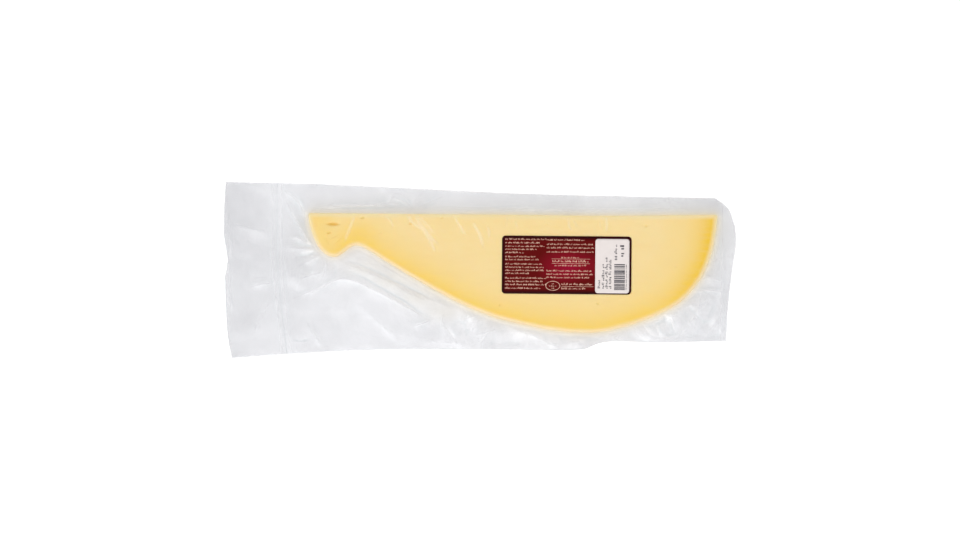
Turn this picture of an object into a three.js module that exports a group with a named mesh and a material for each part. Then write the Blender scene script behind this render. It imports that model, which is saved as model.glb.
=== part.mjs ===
// A slice of provola in its vacuum pouch. The slice is a slab cut lengthwise from a
// pear-shaped stretched-curd cheese and halved along its middle, so it has a small head,
// a neck and a long rounded body under one straight knife cut. Two clear films hug the
// slab and meet around it in a flat flange. An information label and a narrow price
// sticker lie on the front film.
//
// Millimetres, +Z up. +X points to the round end of the cheese and +Y to the knife cut.
// The origin is under the middle of the whole package, on the surface that it lies on.

import * as THREE from "three";

// Driving dimensions.
const SLAB_THICKNESS = 12;
const SLAB_RIM_RADIUS = 1.5; // rounding of the slab's upper and lower rims
const SLAB_CORNER_RADIUS = 2.5; // rounding of the two ends of the knife cut
const FILM_THICKNESS = 0.2;
const CLEARANCE = 0.2; // air between one piece and the next
const PARTING_HEIGHT = 4.5; // plane in which the two films meet
const FLANGE_FILLET = 2; // where the films leave the slab's wall and turn into the flange
const PAPER_THICKNESS = 0.15;

const LABEL = { length: 116.5, width: 52.2, corner: 3.2 };
const LABEL_CENTRE = { x: 77.8, y: 4.5 };
const LABEL_SLANT = THREE.MathUtils.degToRad(-0.5);
const STICKER = { length: 30.7, width: 48.9, corner: 2.5 };
const STICKER_OFFSET = { x: 41, y: -0.6 }; // from the label's centre

const FINE_STEP = 1; // spacing at which an outline is first walked
const LONGEST_SIDE = 22; // facets of an outline, on its straightest stretches
const LARGEST_TURN = THREE.MathUtils.degToRad(8); // and on its round ones
const ROUND_STEPS = 2; // facets in each small rounding

// Heights of the layers, from the surface up.
const SLAB_BOTTOM = FILM_THICKNESS + CLEARANCE;
const SLAB_TOP = SLAB_BOTTOM + SLAB_THICKNESS;
const FRONT_FILM_TOP = SLAB_TOP + CLEARANCE + FILM_THICKNESS;
const LABEL_BOTTOM = FRONT_FILM_TOP + CLEARANCE;
const STICKER_BOTTOM = LABEL_BOTTOM + PAPER_THICKNESS + CLEARANCE;

const vectors = (pairs) => pairs.map(([x, y]) => new THREE.Vector2(x, y));

// Slab: head at the left, round end at the right, straight knife cut along the top.
function slabOutline() {
  const cutLeft = { x: -154.6, y: 52 };
  const cutRight = { x: 213.4, y: 50.3 };
  const r = SLAB_CORNER_RADIUS;
  const outline = new THREE.Shape();
  outline.moveTo(cutLeft.x + r, cutLeft.y);
  outline.quadraticCurveTo(cutLeft.x, cutLeft.y, cutLeft.x, cutLeft.y - r);
  outline.splineThru(vectors([
    [-153.4, 41], [-149.6, 29], [-144.2, 19.2], [-137.2, 13.3], [-130, 11.8], // head
    [-124, 14.6], [-117.5, 19.2], [-111.5, 21.3], [-104.5, 19.2], // neck
    [-92, 11.4], [-70, -2.2], [-45, -16.6], [-18, -30.9], [12, -43.1], // long flank
    [45, -51.2], [75, -56.3], [105, -56.9], [133, -51.2], [158, -42.2], // belly
    [181, -29.2], [197.5, -10.5], [207.4, 12], [212, 33], // round end
    [cutRight.x, cutRight.y - r],
  ]));
  outline.quadraticCurveTo(cutRight.x, cutRight.y, cutRight.x - r, cutRight.y);
  outline.splineThru(vectors([[110, 49.4], [0, 50.6], [cutLeft.x + r, cutLeft.y]]));
  return outline;
}

// Pouch: open-mouth end at the left, drawn in along its long sides by the slab, with one
// rounded corner at the upper right.
function pouchOutline() {
  const outline = new THREE.Shape();
  outline.moveTo(-223.4, -79.2);
  outline.splineThru(vectors([
    [-170, -75.4], [-110, -72.2], [-50, -71.2], [20, -71.6], [86, -71.9], [106, -66.2],
    [122, -63.9], [160, -65.2], [221.6, -63.8],
  ]));
  outline.splineThru(vectors([[223.4, -30], [227.4, 2], [230.7, 24], [229.6, 39]]));
  outline.splineThru(vectors([[223.7, 55.2], [211.5, 64.9]]));
  outline.splineThru(vectors([[120, 66.6], [30, 69.2], [-60, 73.5], [-150, 77.7], [-229.2, 79.4]]));
  outline.splineThru(vectors([[-230.7, 54], [-230.9, 31]]));
  outline.splineThru(vectors([[-227.5, 10], [-229.9, -6]]));
  outline.splineThru(vectors([[-227.8, -56], [-223.4, -79.2]]));
  return outline;
}

function roundedRectangle({ length, width, corner }) {
  const x = length / 2 - corner;
  const y = width / 2 - corner;
  const quarter = Math.PI / 2;
  const outline = new THREE.Shape();
  outline.absarc(x, -y, corner, -quarter, 0);
  outline.absarc(x, y, corner, 0, quarter);
  outline.absarc(-x, y, corner, quarter, 2 * quarter);
  outline.absarc(-x, -y, corner, 2 * quarter, 3 * quarter);
  return outline;
}

// Points along an outline, closer together where it turns more.
function outlinePoints(outline) {
  return outline.curves.flatMap((curve) => {
    const steps = Math.max(ROUND_STEPS, Math.round(curve.getLength() / FINE_STEP));
    const walked = curve.getSpacedPoints(steps);
    const kept = [walked[0]];
    let last = 0;
    for (let i = 1; i < steps; i += 1) {
      const heading = walked[i].clone().sub(walked[last]);
      const ahead = walked[i + 1].clone().sub(walked[i]);
      const turn = Math.abs(heading.angleTo(ahead));
      if (turn > LARGEST_TURN / 2 || heading.length() > LONGEST_SIDE) {
        kept.push(walked[i]);
        last = i;
      }
    }
    return kept;
  });
}

// The same points moved outwards by a distance, or inwards where it is negative.
function offsetPoints(points, distance) {
  return points.map((point, i) => {
    const before = points[(i + points.length - 1) % points.length];
    const after = points[(i + 1) % points.length];
    const along = after.clone().sub(before).normalize();
    return new THREE.Vector2(point.x + along.y * distance, point.y - along.x * distance);
  });
}

// Profile of a film from the edge of its flat cap to the foot of its wall, as pairs of
// distance out from the slab's outline and height over the flange.
function filmProfile(rise, skin) {
  const quarter = Math.PI / 2;
  const capRadius = SLAB_RIM_RADIUS + CLEARANCE + skin;
  const footRadius = FLANGE_FILLET + FILM_THICKNESS - skin;
  const footCentre = CLEARANCE + FILM_THICKNESS + FLANGE_FILLET;
  const profile = [];
  for (let i = 0; i <= ROUND_STEPS; i += 1) {
    const angle = (i / ROUND_STEPS) * quarter;
    const out = Math.sin(angle) * capRadius - SLAB_RIM_RADIUS;
    const height = rise + skin - capRadius * (1 - Math.cos(angle));
    profile.push({ out, height });
  }
  for (let i = 0; i <= ROUND_STEPS; i += 1) {
    const angle = (i / ROUND_STEPS) * quarter;
    const out = footCentre - Math.cos(angle) * footRadius;
    const height = skin + footRadius * (1 - Math.sin(angle));
    profile.push({ out, height });
  }
  return profile;
}

// Collects rings of points and joins them into one closed skin.
class Skin {
  constructor(heightSign) {
    this.heightSign = heightSign;
    this.positions = [];
    this.triangles = [];
  }

  addRing(points, height) {
    const first = this.positions.length / 3;
    points.forEach((point) => this.positions.push(point.x, point.y, height));
    return { first, count: points.length, points };
  }

  addTriangle(a, b, c) {
    this.triangles.push(...(this.heightSign > 0 ? [a, b, c] : [a, c, b]));
  }

  bridge(from, to) {
    for (let i = 0; i < from.count; i += 1) {
      const next = (i + 1) % from.count;
      this.addTriangle(from.first + i, to.first + i, to.first + next);
      this.addTriangle(from.first + i, to.first + next, from.first + next);
    }
  }

  // Flat area inside a ring and around an optional hole, facing away from the flange
  // plane where facing is 1 and towards it where facing is -1.
  fill(ring, hole, facing) {
    const holes = hole ? [hole] : [];
    const indices = [ring, ...holes].flatMap(({ first, count }) =>
      Array.from({ length: count }, (_, i) => first + i));
    const faces = THREE.ShapeUtils.triangulateShape(ring.points, holes.map((h) => h.points));
    faces.forEach(([a, b, c]) => {
      const corners = [a, b, c].map((corner) => indices[corner]);
      if (this.facesUp(corners) !== facing > 0) corners.reverse();
      this.addTriangle(...corners);
    });
  }

  facesUp(corners) {
    const [a, b, c] = corners.map((i) => new THREE.Vector2(...this.positions.slice(3 * i, 3 * i + 2)));
    return b.sub(a).cross(c.sub(a)) > 0;
  }

  toGeometry() {
    const geometry = new THREE.BufferGeometry();
    geometry.setAttribute("position", new THREE.Float32BufferAttribute(this.positions, 3));
    geometry.setIndex(this.triangles);
    geometry.computeVertexNormals();
    return geometry;
  }
}

// One film: a shallow tray over the slab with a flange out to the pouch's edge. The rise
// is measured from the flange's inner face, at flangeHeight, to the inside of the cap.
// The sign is 1 for the front film and -1 for the back film, which opens upwards.
function filmGeometry(flangeHeight, rise, sign) {
  const slab = outlinePoints(slabOutline());
  const edge = outlinePoints(pouchOutline());
  const skin = new Skin(sign);
  const level = (height) => flangeHeight + sign * height;
  const rings = (thickness) => filmProfile(rise, thickness).map(({ out, height }) =>
    skin.addRing(offsetPoints(slab, out), level(height)));

  const outer = rings(FILM_THICKNESS);
  const outerEdge = skin.addRing(edge, level(FILM_THICKNESS));
  const innerEdge = skin.addRing(edge, level(0));
  const inner = rings(0).reverse();

  skin.fill(outer[0], null, 1);
  outer.slice(1).forEach((ring, i) => skin.bridge(outer[i], ring));
  skin.fill(outerEdge, outer[outer.length - 1], 1);
  skin.bridge(outerEdge, innerEdge);
  skin.fill(innerEdge, inner[0], -1);
  inner.slice(1).forEach((ring, i) => skin.bridge(inner[i], ring));
  skin.fill(inner[inner.length - 1], null, -1);
  return skin.toGeometry();
}

function cheese() {
  const outline = new THREE.Shape(outlinePoints(slabOutline()));
  const geometry = new THREE.ExtrudeGeometry(outline, {
    depth: SLAB_THICKNESS - 2 * SLAB_RIM_RADIUS,
    bevelThickness: SLAB_RIM_RADIUS,
    bevelSize: SLAB_RIM_RADIUS,
    bevelOffset: -SLAB_RIM_RADIUS,
    bevelSegments: ROUND_STEPS,
    curveSegments: 1,
  });
  const material = new THREE.MeshStandardMaterial({ color: 0xfadda4, roughness: 0.55, metalness: 0 });
  const mesh = new THREE.Mesh(geometry, material);
  mesh.name = "cheese";
  mesh.position.z = SLAB_BOTTOM + SLAB_RIM_RADIUS;
  return mesh;
}

function filmMaterial() {
  return new THREE.MeshStandardMaterial({
    color: 0xf2f3f4, roughness: 0.12, metalness: 0, transparent: true, opacity: 0.25,
  });
}

function frontFilm() {
  const flange = PARTING_HEIGHT + CLEARANCE / 2;
  const mesh = new THREE.Mesh(filmGeometry(flange, SLAB_TOP + CLEARANCE - flange, 1), filmMaterial());
  mesh.name = "front_film";
  return mesh;
}

function backFilm() {
  const flange = PARTING_HEIGHT - CLEARANCE / 2;
  const mesh = new THREE.Mesh(filmGeometry(flange, flange - FILM_THICKNESS, -1), filmMaterial());
  mesh.name = "back_film";
  return mesh;
}

function paper(name, size, colour) {
  const geometry = new THREE.ExtrudeGeometry(roundedRectangle(size), {
    depth: PAPER_THICKNESS, bevelEnabled: false, curveSegments: 6,
  });
  const material = new THREE.MeshStandardMaterial({ color: colour, roughness: 0.4, metalness: 0 });
  const mesh = new THREE.Mesh(geometry, material);
  mesh.name = name;
  return mesh;
}

function labels() {
  const label = paper("product_label", LABEL, 0x520a14);
  label.position.z = LABEL_BOTTOM;
  const sticker = paper("price_sticker", STICKER, 0xeee6e3);
  sticker.position.set(STICKER_OFFSET.x, STICKER_OFFSET.y, STICKER_BOTTOM);
  const group = new THREE.Group();
  group.position.set(LABEL_CENTRE.x, LABEL_CENTRE.y, 0);
  group.rotation.z = LABEL_SLANT;
  group.add(label, sticker);
  return group;
}

const provola = new THREE.Group();
provola.add(cheese(), backFilm(), frontFilm(), labels());

// Bring the middle of the package over the origin.
provola.updateMatrixWorld(true);
const middle = new THREE.Box3().setFromObject(provola).getCenter(new THREE.Vector3());
provola.position.set(-middle.x, -middle.y, 0);

export default provola;
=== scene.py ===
"""Looks of a vacuum-packed slice of provola: curd, clear film, printed label and price sticker."""

import logging
import math
from collections.abc import Sequence
from dataclasses import dataclass, field
from enum import Enum

import bmesh
import bpy
import numpy as np
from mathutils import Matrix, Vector, geometry, kdtree, noise


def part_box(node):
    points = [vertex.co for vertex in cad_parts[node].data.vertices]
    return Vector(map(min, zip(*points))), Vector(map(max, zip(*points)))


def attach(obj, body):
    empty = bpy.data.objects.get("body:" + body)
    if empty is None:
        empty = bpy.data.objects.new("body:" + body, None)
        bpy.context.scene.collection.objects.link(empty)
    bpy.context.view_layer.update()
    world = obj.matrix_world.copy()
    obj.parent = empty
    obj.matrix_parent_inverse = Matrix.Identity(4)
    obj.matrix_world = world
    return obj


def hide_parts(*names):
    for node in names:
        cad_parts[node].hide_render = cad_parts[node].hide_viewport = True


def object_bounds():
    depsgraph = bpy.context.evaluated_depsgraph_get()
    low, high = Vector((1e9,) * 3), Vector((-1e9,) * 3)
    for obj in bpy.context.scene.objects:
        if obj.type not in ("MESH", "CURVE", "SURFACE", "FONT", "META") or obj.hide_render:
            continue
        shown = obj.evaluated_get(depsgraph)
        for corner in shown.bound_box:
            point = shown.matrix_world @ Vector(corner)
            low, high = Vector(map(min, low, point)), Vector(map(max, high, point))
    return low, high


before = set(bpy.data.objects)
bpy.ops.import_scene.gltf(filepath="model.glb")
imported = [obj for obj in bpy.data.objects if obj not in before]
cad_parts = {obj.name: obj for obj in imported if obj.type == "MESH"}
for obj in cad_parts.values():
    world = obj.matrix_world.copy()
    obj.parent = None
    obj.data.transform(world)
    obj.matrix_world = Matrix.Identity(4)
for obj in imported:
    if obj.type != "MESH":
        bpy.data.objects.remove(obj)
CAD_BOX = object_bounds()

log = logging.getLogger("provola")

MM = 0.001  # every length below is in millimetres, and meshes are in metres
ROOT_BODY = "root"

Points = np.ndarray
Colour = tuple[float, float, float, float]


# ---------------------------------------------------------------- small tools


def linear(code: str, alpha: float = 1.0) -> Colour:
    """Turn an sRGB hex colour into linear light.

    Args:
        code: six hex digits, such as "fadda4".
        alpha: fourth channel of the result.

    Returns:
        Red, green, blue and alpha, from 0 to 1.
    """
    channels = [int(code[i:i + 2], 16) / 255 for i in (0, 2, 4)]
    light = [c / 12.92 if c <= 0.04045 else ((c + 0.055) / 1.055) ** 2.4 for c in channels]
    return (light[0], light[1], light[2], alpha)


def add_node(
    tree: bpy.types.NodeTree,
    kind: str,
    settings: dict[str, object] | None = None,
    **inputs: object,
) -> bpy.types.Node:
    """Add a shader node, set it and link it.

    Args:
        tree: the material's node tree.
        kind: the node's type, without its "ShaderNode" prefix.
        settings: the node's own properties.
        **inputs: each input by name (with _ for a space) or as in_0, in_1 and so on. A
            socket, or a node's first output in use, is linked, and the rest become values.

    Returns:
        The new node.
    """
    node = tree.nodes.new("ShaderNode" + kind)
    for name, value in (settings or {}).items():
        setattr(node, name, value)
    for name, value in inputs.items():
        numbered = name.startswith("in_")
        socket = node.inputs[int(name[3:]) if numbered else name.replace("_", " ")]
        if isinstance(value, bpy.types.Node):
            value = next(output for output in value.outputs if output.enabled)
        if isinstance(value, bpy.types.NodeSocket):
            tree.links.new(value, socket)
        else:
            socket.default_value = value
    return node


def set_ramp(node: bpy.types.Node, stops: Sequence[tuple[float, Colour]]) -> None:
    """Give a colour ramp its stops.

    Args:
        node: the ramp.
        stops: the place from 0 to 1 and the colour of each stop, in order.
    """
    elements = node.color_ramp.elements
    while len(elements) < len(stops):
        elements.new(1.0)
    for element, (place, colour) in zip(elements, stops):
        element.position = place
        element.color = colour


def new_material(name: str) -> tuple[bpy.types.Material, bpy.types.NodeTree]:
    """Make an empty node material.

    Args:
        name: the material's name.

    Returns:
        The material and its tree, which holds only the output node.
    """
    material = bpy.data.materials.new(name)
    material.use_nodes = True
    tree = material.node_tree
    tree.nodes.clear()
    tree.nodes.new("ShaderNodeOutputMaterial")
    return material, tree


def to_output(tree: bpy.types.NodeTree, shader: bpy.types.Node) -> None:
    """Link a shader to the material's output."""
    tree.links.new(shader.outputs[0], tree.nodes["Material Output"].inputs["Surface"])


def make_piece(
    name: str,
    vertices: Points,
    triangles: np.ndarray,
    material: bpy.types.Material,
    smooth: bool = True,
) -> bpy.types.Object:
    """Make a mesh piece that rides on the package's one body.

    Args:
        name: the piece's name.
        vertices: its points in millimetres.
        triangles: the three point indices of each face.
        material: its finish.
        smooth: whether its faces are shaded smooth.

    Returns:
        The new object.
    """
    mesh = bpy.data.meshes.new(name)
    mesh.from_pydata((vertices * MM).tolist(), [], triangles.tolist())
    mesh.validate()
    mesh.materials.append(material)
    mesh.polygons.foreach_set("use_smooth", [smooth] * len(mesh.polygons))
    piece = bpy.data.objects.new(name, mesh)
    bpy.context.scene.collection.objects.link(piece)
    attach(piece, ROOT_BODY)
    return piece


def add_attribute(piece: bpy.types.Object, name: str, values: np.ndarray) -> None:
    """Store one number for each point of a piece, for its material to read."""
    layer = piece.data.attributes.new(name, "FLOAT", "POINT")
    layer.data.foreach_set("value", values.astype(np.float32))


# ------------------------------------------------------------- plan geometry


def section_loop(node: str, height: float) -> Points:
    """Find the longest loop in which a level plane cuts a CAD node.

    Args:
        node: the CAD node's name.
        height: the plane's height in millimetres.

    Returns:
        The loop's points in plan, counter-clockwise from its leftmost one.
    """
    cut = bmesh.new()
    cut.from_mesh(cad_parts[node].data)
    bmesh.ops.remove_doubles(cut, verts=cut.verts, dist=1e-7)
    parts = [*cut.verts, *cut.edges, *cut.faces]
    made = bmesh.ops.bisect_plane(
        cut, geom=parts, plane_co=(0, 0, height * MM), plane_no=(0, 0, 1), dist=1e-7
    )
    edges = {e for e in made["geom_cut"] if isinstance(e, bmesh.types.BMEdge)}
    longest: list[Vector] = []
    best = 0.0
    while edges:
        edge = edges.pop()
        start, here = edge.verts
        loop = [start.co.copy()]
        length = edge.calc_length()
        while here is not start:
            loop.append(here.co.copy())
            onward = [e for e in here.link_edges if e in edges]
            if not onward:
                break
            edges.discard(onward[0])
            length += onward[0].calc_length()
            here = onward[0].other_vert(here)
        if length > best:
            longest, best = loop, length
    cut.free()
    plan = np.array([(p.x, p.y) for p in longest]) / MM
    if loop_area(plan) < 0:
        plan = plan[::-1]
    return np.roll(plan, -int(plan[:, 0].argmin()), axis=0)


def loop_area(loop: Points) -> float:
    """Signed area of a closed loop, positive where it runs counter-clockwise."""
    after = np.roll(loop, -1, axis=0)
    return float((loop[:, 0] * after[:, 1] - loop[:, 1] * after[:, 0]).sum() / 2)


def spaced_line(line: Points, step: float, closed: bool) -> Points:
    """Walk a line again with evenly spaced points.

    Args:
        line: its points.
        step: the spacing wanted.
        closed: whether it closes on itself.

    Returns:
        The new points, without a repeated last one where it is closed.
    """
    full = np.vstack([line, line[:1]]) if closed else line
    along = np.concatenate([[0.0], np.cumsum(np.linalg.norm(np.diff(full, axis=0), axis=1))])
    count = max(2, round(along[-1] / step)) + 1
    places = np.linspace(0, along[-1], count)
    walked = np.stack([np.interp(places, along, full[:, k]) for k in range(full.shape[1])], 1)
    return walked[:-1] if closed else walked


def smoothed_loop(loop: Points, reach: int) -> Points:
    """Round off the facets of a closed loop by averaging each point with its neighbours.

    Args:
        loop: its evenly spaced points.
        reach: how many neighbours count on each side.

    Returns:
        The rounded loop.
    """
    weights = np.hanning(2 * reach + 3)[1:-1]
    weights /= weights.sum()
    return sum(w * np.roll(loop, k - reach, axis=0) for k, w in enumerate(weights))


def outward(loop: Points) -> Points:
    """Find which way is out at each point of a closed loop.

    Args:
        loop: its points, counter-clockwise.

    Returns:
        A unit vector for each point.
    """
    along = np.roll(loop, -1, axis=0) - np.roll(loop, 1, axis=0)
    along /= np.linalg.norm(along, axis=1, keepdims=True)
    return np.stack([along[:, 1], -along[:, 0]], axis=1)


def distance_to_line(points: Points, line: Points, closed: bool) -> tuple[np.ndarray, np.ndarray]:
    """Measure how far points are from a line.

    Args:
        points: the points, in plan.
        line: the line's own points.
        closed: whether the line closes on itself.

    Returns:
        Each point's distance, and how far along the line its nearest place is, from 0 to 1.
    """
    dense = spaced_line(line, 0.35, closed)
    tree = kdtree.KDTree(len(dense))
    for k, (x, y) in enumerate(dense.tolist()):
        tree.insert((x, y, 0.0), k)
    tree.balance()
    found = [tree.find((x, y, 0.0)) for x, y in points.tolist()]
    far = np.array([f[2] for f in found])
    place = np.array([f[1] for f in found]) / max(len(dense) - (0 if closed else 1), 1)
    return far, place


def inside_loop(points: Points, loop: Points) -> np.ndarray:
    """Say which points lie inside a closed loop.

    Args:
        points: the points, in plan.
        loop: the loop's own points.

    Returns:
        True or False for each point.
    """
    ends = np.roll(loop, -1, axis=0)
    found = np.zeros(len(points), bool)
    for (x0, y0), (x1, y1) in zip(loop, ends):
        crosses = (y0 > points[:, 1]) != (y1 > points[:, 1])
        if y0 != y1:
            found ^= crosses & (points[:, 0] < (x1 - x0) * (points[:, 1] - y0) / (y1 - y0) + x0)
    return found


def signed_distance(points: Points, loop: Points) -> np.ndarray:
    """Distance from a closed loop, negative inside it."""
    far, _ = distance_to_line(points, loop, closed=True)
    return np.where(inside_loop(points, loop), -far, far)


def hex_grid(low: Points, high: Points, step: float) -> Points:
    """Spread points evenly over a rectangle, in rows of equilateral triangles.

    Args:
        low: the rectangle's lower corner.
        high: its upper corner.
        step: the triangles' side.

    Returns:
        The points.
    """
    row_step = step * math.sqrt(3) / 2
    rows = np.arange(low[1], high[1], row_step)
    columns = np.arange(low[0], high[0], step)
    x, y = np.meshgrid(columns, rows)
    x = x + (np.arange(len(rows)) % 2)[:, None] * step / 2
    return np.stack([x.ravel(), y.ravel()], axis=1)


def fill_region(outer: Points, inner: Points | None, free: Points) -> tuple[Points, np.ndarray]:
    """Triangulate the region inside one loop and outside another.

    Args:
        outer: the loop round the region.
        inner: the loop round its hole, or None.
        free: points inside the region.

    Returns:
        All points, with the outer loop's first and the inner loop's next, and the triangles.
    """
    loops = [outer] if inner is None else [outer, inner]
    points = np.vstack([*loops, free])
    edges: list[tuple[int, int]] = []
    first = 0
    for loop in loops:
        edges += [(first + i, first + (i + 1) % len(loop)) for i in range(len(loop))]
        first += len(loop)
    made = geometry.delaunay_2d_cdt([Vector(p) for p in points], edges, [], 0, 1e-6, False)
    triangles = np.array(made[2])
    middles = points[triangles].mean(axis=1)
    keep = inside_loop(middles, outer)
    if inner is not None:
        keep &= ~inside_loop(middles, inner)
    return points, triangles[keep]


def bridge_rings(first: int, second: int, count: int) -> np.ndarray:
    """Join two rings of equal count with triangles.

    Args:
        first: index of the first ring's first point.
        second: index of the second ring's first point.
        count: points in each ring.

    Returns:
        The triangles, which face up where the second ring is the outer one.
    """
    here = np.arange(count)
    after = (here + 1) % count
    one = np.stack([first + here, second + here, second + after], axis=1)
    two = np.stack([first + here, second + after, first + after], axis=1)
    return np.vstack([one, two])


def layered_noise(points: Points, size: float, seed: float, octaves: int = 3) -> np.ndarray:
    """Smooth noise from about -1 to 1 over a plan.

    Args:
        points: where it is wanted, in millimetres.
        size: the width of its largest bumps.
        seed: moves it to another part of the noise.
        octaves: how many finer layers are added.

    Returns:
        One value for each point.
    """
    return np.array([
        noise.fractal(Vector((p[0] / size, p[1] / size, seed)), 0.9, 2.1, octaves)
        for p in points
    ])


def smooth_step(low: float, high: float, value: np.ndarray) -> np.ndarray:
    """Rise smoothly from 0 at low to 1 at high."""
    t = np.clip((value - low) / (high - low), 0, 1)
    return t * t * (3 - 2 * t)


CUT_DRAWN_IN = 0.6  # mm that the visible curd stays inside its solid along the knife cut
RIND_DRAWN_IN = 0.9  # and along the near side, where the film's pull rounds it off
NECK = (-128.0, -108.0)  # where along the slab the head, which keeps its size, gives way


def drawn_in(loop: Points) -> Points:
    """Pull the slab's outline in a little, as the tight film does to the soft curd.

    Args:
        loop: the CAD solid's outline, counter-clockwise.

    Returns:
        The outline of the visible slab.
    """
    out = outward(loop)
    cut = smooth_step(0.75, 0.97, out[:, 1])
    near_side = smooth_step(0.1, 0.8, -out[:, 1]) * smooth_step(*NECK, loop[:, 0])
    return loop - out * (CUT_DRAWN_IN * cut + RIND_DRAWN_IN * near_side)[:, None]


@dataclass(frozen=True)
class Plan:
    """The outlines that every piece is built on, taken from the CAD solids."""

    slab: Points
    pouch: Points

    @classmethod
    def from_frame(cls) -> "Plan":
        """Cut the CAD cheese and front film level to find their outlines.

        Returns:
            The outlines.
        """
        low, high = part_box("cheese")
        slab = section_loop("cheese", (low.z + high.z) / 2 / MM)
        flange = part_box("front_film")[0].z / MM
        pouch = section_loop("front_film", flange + 0.1)
        slab = smoothed_loop(spaced_line(slab, 0.75, closed=True), 3)
        return cls(drawn_in(slab), pouch)

    def rounding(self, loop: Points) -> np.ndarray:
        """Say how far the rind rounds the rim off at each point of the slab's loop.

        Args:
            loop: the slab's outline.

        Returns:
            From 0 along the knife cut to 1 at the belly, and less at the steeper ends.
        """
        belly = smooth_step(-0.2, 0.5, -outward(loop)[:, 1])
        return (1 - self.cut_share(loop)) * (0.35 + 0.65 * belly)

    def cut_share(self, loop: Points) -> np.ndarray:
        """Say how far each point of the slab's loop belongs to the knife cut, from 0 to 1."""
        cut_line = self.slab[:, 1].max() - 3.2  # the cut is straight to within this
        return smooth_step(0.75, 0.97, outward(loop)[:, 1]) * (loop[:, 1] > cut_line)

    def rind_line(self) -> Points:
        """Take the curved part of the slab's outline.

        Returns:
            Its points, from one end of the cut to the other.
        """
        on_cut = self.cut_share(self.slab) > 0.5
        start = int(np.flatnonzero(on_cut & ~np.roll(on_cut, -1))[0]) + 1
        turned = np.roll(self.slab, -start, axis=0)
        return turned[: int((~on_cut).sum())]


@dataclass(frozen=True)
class Patch:
    """A soft-edged oval in plan, where something is stronger than elsewhere."""

    x: float
    y: float
    half_x: float
    half_y: float
    strength: float

    def share(self, xy: Points) -> np.ndarray:
        """How strongly each point is touched by this patch."""
        away = ((xy - [self.x, self.y]) / [self.half_x, self.half_y]) ** 2
        return self.strength * np.exp(-away.sum(axis=1))


# ------------------------------------------------------------------- finishes


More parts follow.
